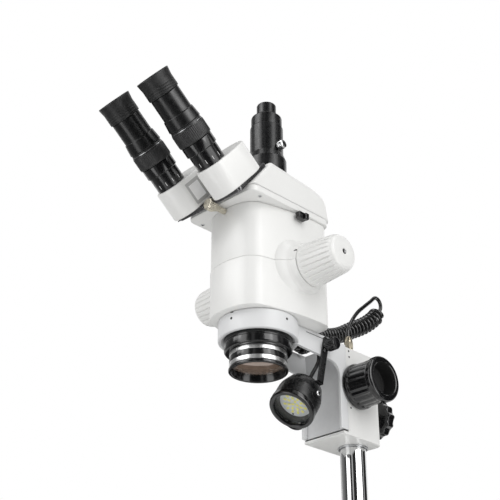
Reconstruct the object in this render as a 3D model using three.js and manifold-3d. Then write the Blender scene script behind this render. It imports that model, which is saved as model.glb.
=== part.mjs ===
// Trinocular zoom stereo microscope on a pole stand, with a focusing block and an LED side lamp.
// Millimetres, +Z up. The optical axis of the objective is x = 0, y = 0, and the table top is z = 0.
// +Y points from the optical axis to the pole, and the eyepieces lean out towards -Y.
import * as THREE from "three";
import { mergeVertices } from "three/addons/utils/BufferGeometryUtils.js";
import Module from "manifold-3d";

const wasm = await Module();
wasm.setup();

// ---- driving dimensions -------------------------------------------------------------------
const GAP = 0.3; // air between pieces that touch
const RUN = 0.4; // air around a piece that moves
const OBJECTIVE_Z = 275; // height of the objective's lower rim above the table

const POLE = { y: 156, r: 15, bore: 12, foot: 14, top: OBJECTIVE_Z + 66 };
const SLEEVE_R = 17.2;

const BASE = { halfWidth: 104, front: -92, rear: 208, bottom: 8.6, top: 58, wall: 4, roof: 8 };
const FOOT = { r: 11, height: 6, x: 82, front: -68, rear: 184 };
const STAGE = { r: 47.5, thickness: 4.3, window: 40 };

// Heights from here on are above the objective's rim.
const RING = { r: 45, bore: 38.4, bottom: 35, top: 57.8 };
const ARM = { half: 30.6, wall: 4, webFront: 107, back: 113.7, foot: -46.5 };
const BLOCK = { half: 30, front: 114.3, rear: 176, bottom: -50.6, top: 56, toe: 106 };
const PINION = { y: 131, z: 9.7, pitchR: 6, teeth: 12 };
const FOCUS_KNOB = { r: 27, inner: 31.2, outer: 72.5 };
const CLAMP = { z: -4.5, r: 21.5, neckR: 8, inner: 197, outer: 208.7 };

const SPIGOT = { r: 38, bottom: 21.7, top: 58 };
const BODY = { bottom: 58.3, seam: 117, top: 186, wall: 3.5 };
const ZOOM = { y: 22.1, z: 117.3, bossR: 26, bossEnd: 61.8, inner: 62.3, outer: 110.6, r: 25, tipR: 21 };
const FLANGE = { half: 54, front: -63, rear: 67, bottom: 186.3, top: 194 };
const COVER = { half: 52, ridge: 236.6 };
const PHOTO = { y: 16, r: 20.2, baseR: 23.9, bore: 14.4, bottom: 225, top: 325 };

const INCLINE = THREE.MathUtils.degToRad(38.5); // eyepiece axes above the horizontal
const EYE = { x: 33, y: -105.8, z: 208.2 }; // where an eyepiece axis meets the front face of its prism box
const BOX = { depth: 38, lowerR: 20.5, upperR: 27, pivot: 25 };

const LAMP = { y: 51.5, z: -31.1, tilt: THREE.MathUtils.degToRad(34.6), pivot: 18.4, r: 26.7, length: 46 };
const LEG = { y: 76, z: 44, width: 9, sheet: 2 };

const CORD_R = 2.2; // plain lead
const COIL_R = 8.7; // outside of the curly part

// ---- materials ----------------------------------------------------------------------------
const paint = (color, roughness, metalness = 0) =>
  new THREE.MeshStandardMaterial({ color, roughness, metalness });
const WHITE = paint(0xeeeeeb, 0.35);
const GREY_PAINT = paint(0xd6d7d8, 0.4);
const BLACK = paint(0x17181a, 0.35);
const BLACK_METAL = paint(0x141416, 0.25, 0.6);
const RUBBER = paint(0x1b1b1c, 0.75);
const STEEL = paint(0xc9ccd0, 0.12, 1);
const ALUMINIUM = paint(0xb9bcc0, 0.35, 1);
const BRASS = paint(0xc2b280, 0.3, 1);
const GLASS = paint(0xc9a98b, 0.05);
const FROSTED = paint(0xe6e9ea, 0.6);
const BOARD = paint(0x3f7f4f, 0.6);
const LED_BOARD = paint(0xe4e4e0, 0.5);

// ---- solid helpers ------------------------------------------------------------------------
const X = new THREE.Vector3(1, 0, 0);
const Y = new THREE.Vector3(0, 1, 0);
const Z = new THREE.Vector3(0, 0, 1);
const SIDE_VIEW = new THREE.Matrix4().makeBasis(Y, Z, X); // drawing x, y, depth become Y, Z, X
const FRONT_VIEW = new THREE.Matrix4().makeBasis(X, Z, Y.clone().negate()); // and here X, Z, -Y

// Shared vertices merged, faces of no area dropped, and every face turned outward.
function closed(geometry) {
  const loose = geometry.index ? geometry.toNonIndexed() : geometry.clone();
  loose.deleteAttribute("normal");
  loose.deleteAttribute("uv");
  const merged = mergeVertices(loose, 1e-4);
  const index = merged.index.array;
  const kept = [];
  for (let i = 0; i < index.length; i += 3) {
    const [a, b, c] = [index[i], index[i + 1], index[i + 2]];
    if (a !== b && b !== c && c !== a) kept.push(a, b, c);
  }
  const p = merged.attributes.position;
  const corner = (i) => new THREE.Vector3().fromBufferAttribute(p, i);
  let volume = 0;
  for (let i = 0; i < kept.length; i += 3) {
    volume += corner(kept[i]).dot(corner(kept[i + 1]).cross(corner(kept[i + 2])));
  }
  if (volume < 0) kept.reverse();
  merged.setIndex(kept);
  return merged;
}

function toManifold(geometry) {
  const triVerts = new Uint32Array(geometry.index.array);
  const vertProperties = new Float32Array(geometry.attributes.position.array);
  return new wasm.Manifold(new wasm.Mesh({ numProp: 3, vertProperties, triVerts }));
}

function fromManifold(solid) {
  const mesh = solid.getMesh();
  const geometry = new THREE.BufferGeometry();
  geometry.setAttribute("position", new THREE.BufferAttribute(new Float32Array(mesh.vertProperties), 3));
  geometry.setIndex(new THREE.BufferAttribute(new Uint32Array(mesh.triVerts), 1));
  return geometry;
}

const join = (first, ...rest) => fromManifold(rest.reduce((a, b) => a.add(toManifold(b)), toManifold(first)));
const cut = (first, ...rest) =>
  fromManifold(rest.reduce((a, b) => a.subtract(toManifold(b)), toManifold(first)));

// A turned piece about Z. The profile is [radius, height] pairs, from axis to axis or back to its start.
function turned(profile, segments = 18) {
  const points = profile.map(([r, z]) => new THREE.Vector2(r, z));
  return closed(new THREE.LatheGeometry(points, segments).rotateX(Math.PI / 2));
}

const disc = (r, bottom, top, segments = 18) =>
  turned([[0, bottom], [r, bottom], [r, top], [0, top]], segments);
const ring = (outer, inner, bottom, top, segments = 18) =>
  turned([[inner, bottom], [outer, bottom], [outer, top], [inner, top], [inner, bottom]], segments);

function extruded(shape, depth, bevel = 0, curveSegments = 3) {
  const geometry = new THREE.ExtrudeGeometry(shape, {
    depth: depth - 2 * bevel,
    steps: 1,
    curveSegments,
    bevelEnabled: bevel > 0,
    bevelThickness: bevel,
    bevelSize: bevel,
    bevelOffset: -bevel,
    bevelSegments: 1,
  });
  return closed(geometry.translate(0, 0, bevel));
}

// A closed outline through corners [x, y, radius], each one rounded.
function rounded(corners) {
  const shape = new THREE.Shape();
  corners.forEach(([x, y, r = 0], i) => {
    const here = new THREE.Vector2(x, y);
    const [before, after] = [-1, 1].map((step) => {
      const [ox, oy] = corners[(i + step + corners.length) % corners.length];
      return new THREE.Vector2(ox, oy).sub(here).setLength(r).add(here);
    });
    if (i === 0) shape.moveTo(before.x, before.y);
    else shape.lineTo(before.x, before.y);
    if (r > 0) shape.quadraticCurveTo(x, y, after.x, after.y);
  });
  shape.closePath();
  return shape;
}

const rectangle = (x0, y0, x1, y1, r = 0) => rounded([[x0, y0, r], [x1, y0, r], [x1, y1, r], [x0, y1, r]]);

// A box from its low corner to its high corner.
function block(x0, y0, z0, x1, y1, z1) {
  const geometry = new THREE.BoxGeometry(x1 - x0, y1 - y0, z1 - z0);
  return closed(geometry.translate((x0 + x1) / 2, (y0 + y1) / 2, (z0 + z1) / 2));
}

// A side profile in (y, z), extruded between two x values.
const sideProfile = (shape, x0, x1, bevel = 0) =>
  extruded(shape, x1 - x0, bevel).applyMatrix4(SIDE_VIEW).translate(x0, 0, 0);

// A turned piece laid along +X or +Y.
const alongX = (geometry) => geometry.rotateY(Math.PI / 2);
const alongY = (geometry) => geometry.rotateX(-Math.PI / 2);

function tube(points, radius, sides, steps) {
  const curve = new THREE.CatmullRomCurve3(points.map((p) => new THREE.Vector3(...p)));
  const section = new THREE.Shape();
  for (let i = 0; i < sides; i += 1) {
    const a = (2 * Math.PI * i) / sides;
    section[i ? "lineTo" : "moveTo"](radius * Math.cos(a), radius * Math.sin(a));
  }
  section.closePath();
  return closed(new THREE.ExtrudeGeometry(section, { steps, extrudePath: curve, bevelEnabled: false }));
}

const microscope = new THREE.Group();
microscope.name = "stereo_microscope";

function group(parent, x = 0, y = 0, z = 0) {
  const made = new THREE.Group();
  made.position.set(x, y, z);
  parent.add(made);
  return made;
}

function part(parent, name, geometry, material) {
  const mesh = new THREE.Mesh(geometry, material);
  mesh.name = name;
  parent.add(mesh);
  return mesh;
}

const SIDES = [["left", -1], ["right", 1]];

// ---- base ---------------------------------------------------------------------------------
const base = group(microscope);

function baseOutline(inset) {
  const { halfWidth, front, rear } = BASE;
  return rectangle(-halfWidth + inset, front + inset, halfWidth - inset, rear - inset, 22 - inset);
}

function baseHousing() {
  const height = BASE.top - BASE.bottom;
  const shell = extruded(baseOutline(0), height, 3).translate(0, 0, BASE.bottom);
  const hollow = extruded(baseOutline(BASE.wall), height - BASE.roof + 5).translate(0, 0, BASE.bottom - 5);
  const seat = disc(STAGE.r + GAP, BASE.top - STAGE.thickness, BASE.top + 1, 28);
  const light = disc(STAGE.window, BASE.bottom, BASE.top, 28);
  const poleHole = disc(POLE.r + GAP, BASE.bottom, BASE.top + 1, 22).translate(0, POLE.y, 0);
  const inletHole = block(-14.3 + INLET.x, BASE.rear - 10, INLET.z - 10.3, 14.3 + INLET.x, BASE.rear + 1,
    INLET.z + 10.3);
  const knobHole = alongY(disc(3.4, BASE.front - 1, BASE.front + 6, 10)).translate(DIMMER.x, 0, DIMMER.z);
  return cut(shell, hollow, seat, light, poleHole, inletHole, knobHole);
}

const INLET = { x: 50, z: 32 };
const DIMMER = { x: 58, z: 32 };

function mainsInlet() {
  const body = block(-14, BASE.rear - 24, -10, 14, BASE.rear - GAP, 10);
  const socket = block(-11.5, BASE.rear - 16, -7.5, 11.5, BASE.rear + 1, 7.5);
  return cut(body, socket).translate(INLET.x, 0, INLET.z);
}

function dimmerKnob() {
  const knob = disc(9.5, BASE.front - 14, BASE.front - 0.6, 14);
  const shaft = disc(3, BASE.front - 1, BASE.front + 12, 10);
  return alongY(join(knob, shaft)).translate(DIMMER.x, 0, DIMMER.z);
}

function powerBoard() {
  const board = block(-70, 90, 12, 30, 140, 13.6);
  const transformer = block(-60, 98, 13, -32, 122, 34);
  const capacitor = disc(6, 13, 33, 10).translate(-12, 108, 0);
  const coolingFin = block(4, 96, 13, 8, 130, 30);
  const standoff = block(-66, 94, BASE.bottom + GAP, -62, 98, 13);
  return join(board, transformer, capacitor, coolingFin, standoff);
}

function stageClip(side) {
  const reach = 46;
  const post = disc(6, BASE.top + 0.6, BASE.top + 7, 12);
  const profile = rounded([[0, 2.4], [-reach + 8, 2.4], [-reach + 4, 1.6], [-reach, 3.4], [-reach, 4.4],
    [-reach + 4, 2.6], [-reach + 8, 3.4], [0, 3.4]]);
  const strip = sideProfile(profile, -3.5, 3.5).translate(0, 0, BASE.top);
  return join(post, strip).rotateZ(side * THREE.MathUtils.degToRad(-22));
}

part(base, "base_housing", baseHousing(), WHITE);
part(base, "base_bottom_plate", extruded(baseOutline(2), 2).translate(0, 0, FOOT.height + GAP), ALUMINIUM);
for (const [row, y] of [["front", FOOT.front], ["rear", FOOT.rear]]) {
  for (const [side, sign] of SIDES) {
    const profile = [[0, 0], [FOOT.r - 1.5, 0], [FOOT.r, 1.5], [FOOT.r - 1, FOOT.height], [0, FOOT.height]];
    part(group(base, sign * FOOT.x, y), `foot_${row}_${side}`, turned(profile, 14), RUBBER);
  }
}
const stageTop = BASE.top + 0.6;
part(base, "stage_plate", disc(STAGE.r, BASE.top - STAGE.thickness + GAP, stageTop, 28), FROSTED);
part(base, "power_board", powerBoard(), BOARD);
part(base, "mains_inlet", mainsInlet(), BLACK);
part(base, "dimmer_knob", dimmerKnob(), BLACK);
for (const [side, sign] of SIDES) {
  part(group(base, sign * 38, 58), `stage_clip_${side}`, stageClip(-sign), STEEL);
}

// ---- pole ---------------------------------------------------------------------------------
const stand = group(microscope, 0, POLE.y);
const poleProfile = [
  [POLE.bore, POLE.foot], [POLE.r, POLE.foot], [POLE.r, POLE.top - 1], [POLE.r - 1, POLE.top],
  [5.4, POLE.top], [5.4, POLE.top - 9], [POLE.bore, POLE.top - 9], [POLE.bore, POLE.foot],
];
part(stand, "pole", turned(poleProfile, 22), STEEL);
const collar = [[POLE.r + GAP, GAP], [27, GAP], [27, 7], [22, 12], [POLE.r + GAP, 12], [POLE.r + GAP, GAP]];
part(group(stand, 0, 0, BASE.top), "pole_flange", turned(collar, 22), WHITE);

function hexagon(acrossCorners) {
  const corners = [];
  for (let i = 0; i < 6; i += 1) {
    const a = (Math.PI * i) / 3;
    corners.push([acrossCorners * Math.cos(a) * 0.5, acrossCorners * Math.sin(a) * 0.5]);
  }
  return rounded(corners);
}

const GLAND = { bottom: 66.3, shoulder: 77.5, top: 90 };
function cableGland() {
  const thread = disc(5, -7, 2, 12);
  const nut = extruded(hexagon(12.4), GLAND.shoulder - GLAND.bottom);
  const height = GLAND.top - GLAND.bottom;
  const dome = turned([[0, 5], [5.4, 5], [5.4, height - 4], [3.6, height], [0, height]], 14);
  return join(thread, nut, dome);
}
const optics = group(microscope, 0, 0, OBJECTIVE_Z);
part(group(optics, 0, POLE.y, GLAND.bottom), "cable_gland", cableGland(), BRASS);

// ---- focusing block -----------------------------------------------------------------------
part(group(optics, 0, POLE.y), "pole_sleeve", ring(SLEEVE_R, POLE.r + RUN, BLOCK.bottom, BLOCK.top - 2, 22),
  ALUMINIUM);

const DOVETAIL = { front: 14, back: 18, y0: ARM.back + GAP, y1: 121, bottom: -45, top: 52 };

function dovetailSection(extra) {
  const { front, back, y0, y1 } = DOVETAIL;
  return rounded([[-front - extra, y0 - extra * 2], [front + extra, y0 - extra * 2],
    [back + extra, y1 + extra], [-back - extra, y1 + extra]]);
}

function focusBody() {
  const { half, front, rear, bottom, top, toe } = BLOCK;
  const outline = rounded([[-half, front], [half, front], [half, rear, 9], [-half, rear, 9]]);
  const mass = extruded(outline, top - bottom, 1).translate(0, 0, bottom);
  const toePlate = block(-half, toe, bottom, half, front + 8, bottom + 3.3);
  const groove = extruded(dovetailSection(RUN), top - bottom).translate(0, 0, bottom + 5.3);
  const rackSlot = block(-7, 118, bottom + 5.3, 7, 127, top + 1);
  const pinionBore = alongX(disc(5.4, -half - 1, half + 1, 14)).translate(0, PINION.y, PINION.z);
  const pinionRoom = alongX(disc(7.3, -8, 8, 14)).translate(0, PINION.y, PINION.z);
  const sleeveBore = disc(SLEEVE_R + GAP, bottom - 1, top + 1, 22).translate(0, POLE.y, 0);
  const studBore = alongY(disc(4.4, POLE.y + 10, rear + 1, 10)).translate(0, 0, CLAMP.z);
  return cut(join(mass, toePlate), groove, rackSlot, pinionBore, pinionRoom, sleeveBore, studBore);
}
part(optics, "focus_body", focusBody(), WHITE);

function clampKnob() {
  const start = POLE.y + SLEEVE_R + GAP;
  const stud = disc(4, start, CLAMP.inner + 2, 10);
  const neck = disc(CLAMP.neckR, BLOCK.rear + 0.5, CLAMP.inner + 2, 14);
  const head = turned([[0, CLAMP.inner], [CLAMP.r - 2, CLAMP.inner], [CLAMP.r, CLAMP.inner + 2],
    [CLAMP.r, CLAMP.outer - 3], [CLAMP.r - 3, CLAMP.outer], [0, CLAMP.outer]], 20);
  return alongY(join(stud, neck, head)).translate(0, 0, CLAMP.z);
}
part(optics, "pole_clamp_knob", clampKnob(), BLACK);

// Teeth are drawn slim, so rack and pinion turn together without touching.
const TOOTH_PITCH = (2 * Math.PI * PINION.pitchR) / PINION.teeth;
const TOOTH = { root: 0.65, tip: 0.3, height: 1.3 };

function pinionShaft() {
  const points = [];
  const rootR = PINION.pitchR - TOOTH.height / 2;
  const tipR = PINION.pitchR + TOOTH.height / 2;
  for (let i = 0; i < PINION.teeth; i += 1) {
    const a = (2 * Math.PI * (i + 0.5)) / PINION.teeth;
    for (const [r, w] of [[rootR, -TOOTH.root], [tipR, -TOOTH.tip], [tipR, TOOTH.tip], [rootR, TOOTH.root]]) {
      points.push([r * Math.cos(a + w / r), r * Math.sin(a + w / r)]);
    }
  }
  const gear = extruded(rounded(points), 11).translate(0, 0, -5.5);
  const shaft = disc(5, -FOCUS_KNOB.inner - 14, FOCUS_KNOB.inner + 14, 14);
  return alongX(join(gear, shaft)).translate(0, PINION.y, PINION.z);
}

function focusSlide() {
  const { y1, bottom, top } = DOVETAIL;
  const bar = extruded(dovetailSection(0), top - bottom).translate(0, 0, bottom);
  const rootY = PINION.y - PINION.pitchR - TOOTH.height / 2 - 0.25;
  const points = [[y1 - 1, bottom + 4], [y1 - 1, top - 4], [rootY, top - 4]];
  const first = Math.floor((top - 6 - PINION.z) / TOOTH_PITCH);
  const last = Math.ceil((bottom + 6 - PINION.z) / TOOTH_PITCH);
  for (let i = first; i >= last; i -= 1) {
    const z = PINION.z + i * TOOTH_PITCH;
    const tipY = rootY + TOOTH.height;
    points.push([rootY, z + TOOTH.root], [tipY, z + TOOTH.tip], [tipY, z - TOOTH.tip],
      [rootY, z - TOOTH.root]);
  }
  points.push([rootY, bottom + 4]);
  return join(bar, sideProfile(rounded(points), -5, 5));
}

function focusKnob(sign) {
  const { r, inner, outer } = FOCUS_KNOB;
  const profile = [
    [5.3, inner], [r, inner], [r, inner + 5], [r - 1.5, inner + 6.5], [r - 1.5, outer - 8],
    [r - 0.5, outer - 6],
    [r - 0.5, outer - 2], [r - 2.5, outer], [r - 6, outer], [r - 9, outer - 9], [0, outer - 11],
    [0, inner + 15], [5.3, inner + 15], [5.3, inner],
  ];
  const knob = alongX(turned(profile, 22));
  if (sign < 0) knob.rotateZ(Math.PI);
  return knob.translate(0, PINION.y, PINION.z);
}

part(optics, "focus_pinion_shaft", pinionShaft(), STEEL);
part(optics, "focus_slide", focusSlide(), ALUMINIUM);
for (const [side, sign] of SIDES) part(optics, `focus_knob_${side}`, focusKnob(sign), BLACK);

// ---- arm with the head ring ---------------------------------------------------------------
function headArm() {
  const collarBody = ring(RING.r, RING.bore, RING.bottom, RING.top, 28);
  const chamfer = turned([[0, RING.bottom - 1], [RING.bore + 3, RING.bottom - 1],
    [RING.bore, RING.bottom + 2], [0, RING.bottom + 2]], 28);
  const wall = () => rounded([
    [26, RING.bottom - 0.5], [60, 33, 10], [104, 31.5, 20], [102, -8, 20], [102, ARM.foot, 1],
    [ARM.back, ARM.foot, 1], [ARM.back, RING.top, 1], [26, RING.top],
  ]);
  const walls = SIDES.map(([, sign]) => {
    const x = sign < 0 ? -ARM.half : ARM.half - ARM.wall;
    return sideProfile(wall(), x, x + ARM.wall);
  });
  const inner = ARM.half - ARM.wall + 1;
  const web = block(-inner, ARM.webFront, ARM.foot, inner, ARM.back, RING.top);
  const spigotRoom = disc(RING.bore, RING.bottom - 3, RING.top + 1, 28);
  return cut(join(collarBody, ...walls, web), spigotRoom, chamfer);
}
part(optics, "head_arm", headArm(), GREY_PAINT);

// ---- side lamp ----------------------------------------------------------------------------
const lamp = group(optics, 0, LAMP.y, LAMP.z);
lamp.rotation.x = Math.PI - LAMP.tilt; // local +Z is the direction of the light, z = 0 its bezel

const lampPivotY = LAMP.y + LAMP.pivot * Math.sin(LAMP.tilt);
const lampPivotZ = LAMP.z + LAMP.pivot * Math.cos(LAMP.tilt);

function lampHousing() {
  const { r, length } = LAMP;
  const shell = turned([
    [r - 3, -7.3], [r - 0.6, -7.3], [r - 0.6, -26], [r - 4, -36], [r - 9, -length + 2], [r - 12, -length],
    [4, -length],
    [4, -length + 3], [r - 13, -length + 3], [r - 7, -34], [r - 3.6, -25], [r - 3, -7.3],
  ], 22);
  const trunnions = SIDES.map(([, sign]) =>
    alongX(disc(3, r - 2, r + 5, 10)).rotateZ(sign < 0 ? Math.PI : 0));
  trunnions.forEach((t) => t.translate(0, 0, -LAMP.pivot));
  return join(shell, ...trunnions);
}

function lampBezel() {
  const { r } = LAMP;
  return turned([
    [r - 4.5, 0], [r - 1.2, 0], [r, -1.2], [r, -7], [r - 3.4, -7], [r - 3.4, -4.5], [r - 6, -3.5],
    [r - 4.5, 0],
  ], 22);
}

part(lamp, "lamp_housing", lampHousing(), BLACK);
part(lamp, "lamp_bezel", lampBezel(), BLACK);
part(lamp, "lamp_glass", disc(LAMP.r - 3.8, -6.8, -4.9, 18), paint(0xdfe6e8, 0.05));
part(lamp, "lamp_led_board", disc(LAMP.r - 4.2, -12, -10.2, 18), LED_BOARD);
const boot = [[0, -LAMP.length - 13], [2.8, -LAMP.length - 13], [3.7, -LAMP.length + 4],
  [0, -LAMP.length + 4]];
part(lamp, "lamp_strain_relief", turned(boot, 12), RUBBER);

// Each leg is a slotted strip outside the arm, stepped in towards the lamp at its lower end.
function lampLeg(sign) {
  const [dy, dz] = [lampPivotY - LEG.y, lampPivotZ - LEG.z];
  const reach = Math.hypot(dy, dz);
  const half = LEG.width / 2;
  const step = reach - 15;
  const upperX = ARM.half + 0.5;
  const lowerX = LAMP.r + 1.2;
  const upper = sideProfile(rectangle(-half, -step - 2, half, 12, 3), upperX, upperX + LEG.sheet);
  const jog = block(lowerX, -half, -step - 2, upperX + LEG.sheet, half, -step);
  const lower = sideProfile(rectangle(-half, -reach - 5, half, -step, 3), lowerX, lowerX + LEG.sheet);
  const slot = sideProfile(rectangle(-2.4, -8, 2.4, 8, 2.2), upperX - 1, upperX + LEG.sheet + 1);
  const eye = alongX(disc(3.4, lowerX - 1, lowerX + LEG.sheet + 1, 12)).translate(0, 0, -reach);
  const strip = cut(join(upper, jog, lower), slot, eye);
  if (sign < 0) strip.scale(-1, 1, 1);
  return closed(strip.rotateX(Math.atan2(dy, -dz)));
}
for (const [side, sign] of SIDES)
  part(group(optics, 0, LEG.y, LEG.z), `lamp_leg_${side}`, lampLeg(sign), BLACK_METAL);

function legKnob() {
  const start = ARM.half + 0.3;
  const screw = disc(2, start, start + 6, 8);
  const head = disc(7.2, start + 2.6, start + 14, 16);
  return alongX(join(screw, head));
}
part(group(optics, 0, LEG.y, LEG.z), "lamp_leg_knob", legKnob(), BLACK);

// ---- objective ----------------------------------------------------------------------------
const objectiveProfile = [
  [26, 8], [27.5, 6], [29.5, 0], [32.4, 0], [33.1, 0.8], [33.1, 2.6], [32, 3.6], [32, 21.4], [30, 21.4],
  [30, 10], [26, 8],
];
part(optics, "objective_barrel", turned(objectiveProfile, 28), BLACK_METAL);
part(optics, "objective_lens", turned([[0, 10.6], [25, 10.6], [27, 13], [27, 15.5], [0, 15.5]], 22), GLASS);
const spigotProfile = [
  [30, SPIGOT.bottom], [36.5, SPIGOT.bottom], [SPIGOT.r, SPIGOT.bottom + 1.5], [SPIGOT.r, SPIGOT.top],
  [24, SPIGOT.top],
  [24, 30], [30, SPIGOT.bottom],
];
part(optics, "head_spigot", turned(spigotProfile, 28), BLACK_METAL);

// ---- zoom body ----------------------------------------------------------------------------
// Plan of the body: a gently bowed front, sides that widen to the rear, and rounded rear corners.
function bodyPlan(scale) {
  const half = [[12, -53.5, 8], [38.5, -48, 15], [52, 22, 18], [52, 69, 17]];
  const mirrored = half.map(([x, y, r]) => [-x, y, r]).reverse();
  const centre = 8;
  return rounded([...half, ...mirrored].map(([x, y, r]) =>
    [x * scale, centre + (y - centre) * scale, r * scale]));
}

function bodyShell(bottom, top, openTop) {
  const inset = 1 - BODY.wall / 50;
  const outer = extruded(bodyPlan(openTop ? 1 : 0.985), top - bottom, 0.8).translate(0, 0, bottom);
  const low = openTop ? bottom + BODY.wall : bottom - 1;
  const high = openTop ? top + 1 : top - BODY.wall;
  const hollow = extruded(bodyPlan(inset), high - low).translate(0, 0, low);
  const light = disc(20, bottom - 1, top + 1, 14);
  return { outer, hollow, light };
}

function zoomBoss(bottom, top) {
  const boss = alongX(disc(ZOOM.bossR, -ZOOM.bossEnd, ZOOM.bossEnd, 22)).translate(0, ZOOM.y, ZOOM.z);
  const slab = block(-80, -80, bottom, 80, 80, top);
  return fromManifold(toManifold(boss).intersect(toManifold(slab)));
}

function zoomBody(bottom, top, openTop) {
  const { outer, hollow, light } = bodyShell(bottom, top, openTop);
  const bore = alongX(disc(7, -80, 80, 14)).translate(0, ZOOM.y, ZOOM.z);
  const room = alongX(disc(ZOOM.bossR - 4, -44, 44, 14)).translate(0, ZOOM.y, ZOOM.z);
  return cut(join(outer, zoomBoss(bottom, top)), hollow, room, light, bore);
}
part(optics, "head_lower_body", zoomBody(BODY.bottom, BODY.seam, true), WHITE);
part(optics, "head_upper_body", zoomBody(BODY.seam + GAP, BODY.top, false), WHITE);

function zoomKnob(sign) {
  const { inner, outer, r, tipR } = ZOOM;
  const profile = [
    [4.3, inner], [r - 1, inner], [r, inner + 1.2], [r, inner + 4], [tipR, outer - 6],
    [tipR - 3, outer - 1.2],
    [tipR - 7, outer], [0, outer], [0, outer - 6], [4.3, outer - 6], [4.3, inner],
  ];
  const knob = alongX(turned(profile, 20));
  if (sign < 0) knob.rotateZ(Math.PI);
  return knob;
}
const zoom = group(optics, 0, ZOOM.y, ZOOM.z);
const drum = [[0, -30], [14, -30], [14, 30], [0, 30]];
const zoomAxle = disc(4, -ZOOM.outer + 6.4, ZOOM.outer - 6.4, 12);
part(zoom, "zoom_shaft", alongX(join(zoomAxle, turned(drum, 16))), STEEL);
for (const [side, sign] of SIDES) part(zoom, `zoom_knob_${side}`, zoomKnob(sign), WHITE);

// ---- trinocular head ----------------------------------------------------------------------
const { half: flangeHalf, front: flangeFront, rear: flangeRear, bottom: flangeBottom,
  top: flangeTop } = FLANGE;
const flangeShape = rectangle(-flangeHalf, flangeFront, flangeHalf, flangeRear, 12);
const flangePlate = extruded(flangeShape, flangeTop - flangeBottom, 1).translate(0, 0, flangeBottom);
part(optics, "head_flange", cut(flangePlate, disc(20, flangeBottom - 1, flangeTop + 1, 14)), WHITE);

// The inclined front of the head is square to the eyepiece axes. slope(s, u) is the point at distance s
// along the viewing axis and u up the inclined face.
const cosI = Math.cos(INCLINE);
const sinI = Math.sin(INCLINE);
const slope = (s, u) => [-s * cosI + u * sinI, s * sinI + u * cosI];
const faceS = -EYE.y * cosI + EYE.z * sinI; // front face of the prism boxes
const eyeU = EYE.y * sinI + EYE.z * cosI;
const plateS = faceS - BOX.depth - GAP;
const coverS = plateS - 3.2 - GAP;

// Point of the cover's inclined front at a given height.
const coverFront = (z) => [(z * sinI - coverS) / cosI, z];

function headCover() {
  const seam = flangeTop + GAP;
  const { half, ridge } = COVER;
  const profile = (inset) => rounded([
    [coverFront(seam)[0] + inset, seam - (inset ? 5 : 0)], [69 - inset, seam - (inset ? 5 : 0)],
    [63 - inset, 223.5 - inset, 10 - inset / 2],
    [44, 230.2 - inset, 8 - inset / 2], [coverFront(ridge)[0] + 1.2 * inset, ridge - inset],
  ]);
  const shell = sideProfile(profile(0), -half, half, 4);
  const hollow = sideProfile(profile(3.5), -half + 4, half - 4);
  const tubeHole = disc(PHOTO.baseR + 2 * GAP, seam, ridge + 5, 22).translate(0, PHOTO.y, 0);
  const eyeHoles = SIDES.map(([, sign]) => {
    const [y, z] = slope(coverS, eyeU + BOX.pivot);
    return disc(11, -8, 4, 12).rotateX(Math.PI / 2 - INCLINE).translate(sign * EYE.x, y, z);
  });
  return cut(shell, hollow, tubeHole, ...eyeHoles);
}
part(optics, "head_cover", headCover(), WHITE);

// A frame on the inclined face: local X across, local Y up the slope, local Z along the viewing axis.
function onSlope(s, u, x = 0) {
  const made = group(optics, x, ...slope(s, u));
  made.rotation.x = Math.PI / 2 - INCLINE;
  return made;
}

const swivelBase = onSlope(plateS, eyeU + BOX.pivot);
const swivelOutline = rectangle(-50, -30, 50, 36, 6);
const screwNotch = block(-8.5, -35, -5, 8.5, -17, 1);
const swivelHoles = SIDES.map(([, sign]) => disc(11, -5, 1, 12).translate(sign * EYE.x, 0, 0));
part(swivelBase, "swivel_plate", cut(extruded(swivelOutline, 3.2).translate(0, 0, -3.2), screwNotch,
  ...swivelHoles), ALUMINIUM);

function thumbScrew() {
  const profile = [[0, -84], [6.6, -84], [7, -78], [6.6, -72], [3.5, -68], [3.5, BODY_FRONT - 0.8],
    [0, BODY_FRONT - 0.8]];
  return alongY(turned(profile, 12));
}
const BODY_FRONT = -53;
const SCREW_Z = 181;
part(group(optics, 0, 0, SCREW_Z), "head_thumb_screw", thumbScrew(), BRASS);

const leverProfile = [[0, 52.2], [3, 52.2], [3, 54], [5.4, 55], [5.4, 61], [4, 62.5], [0, 62.5]];
part(group(optics, 0, 17, 179.5), "light_path_lever", alongX(turned(leverProfile, 12)), BLACK);

const photo = group(optics, 0, PHOTO.y);
const photoProfile = [
  [PHOTO.bore, PHOTO.bottom], [PHOTO.baseR, PHOTO.bottom], [PHOTO.baseR, 277], [PHOTO.r, 286],
  [PHOTO.r, PHOTO.top],
  [PHOTO.bore, PHOTO.top], [PHOTO.bore, PHOTO.bottom],
];
const photoScrewHole = alongX(disc(2.4, 0, 40, 8)).translate(0, 0, 292);
part(photo, "photo_tube", cut(turned(photoProfile, 22), photoScrewHole), BLACK);
const adapterProfile = [
  [0, 300], [14, 300], [14, PHOTO.top + GAP], [18.9, PHOTO.top + GAP], [18.9, 339.6], [12, 344.8],
  [12, 358.5], [10.5, 360.2], [0, 360.2],
];
part(photo, "camera_adapter", turned(adapterProfile, 20), BLACK);
const photoScrew = [[0, 15.2], [2, 15.2], [2, 21.2], [5.7, 21.8], [5.7, 30.5], [4.5, 31.5], [0, 31.5]];
part(group(photo, 0, 0, 292), "photo_tube_screw", alongX(turned(photoScrew, 12)), STEEL);

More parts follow.
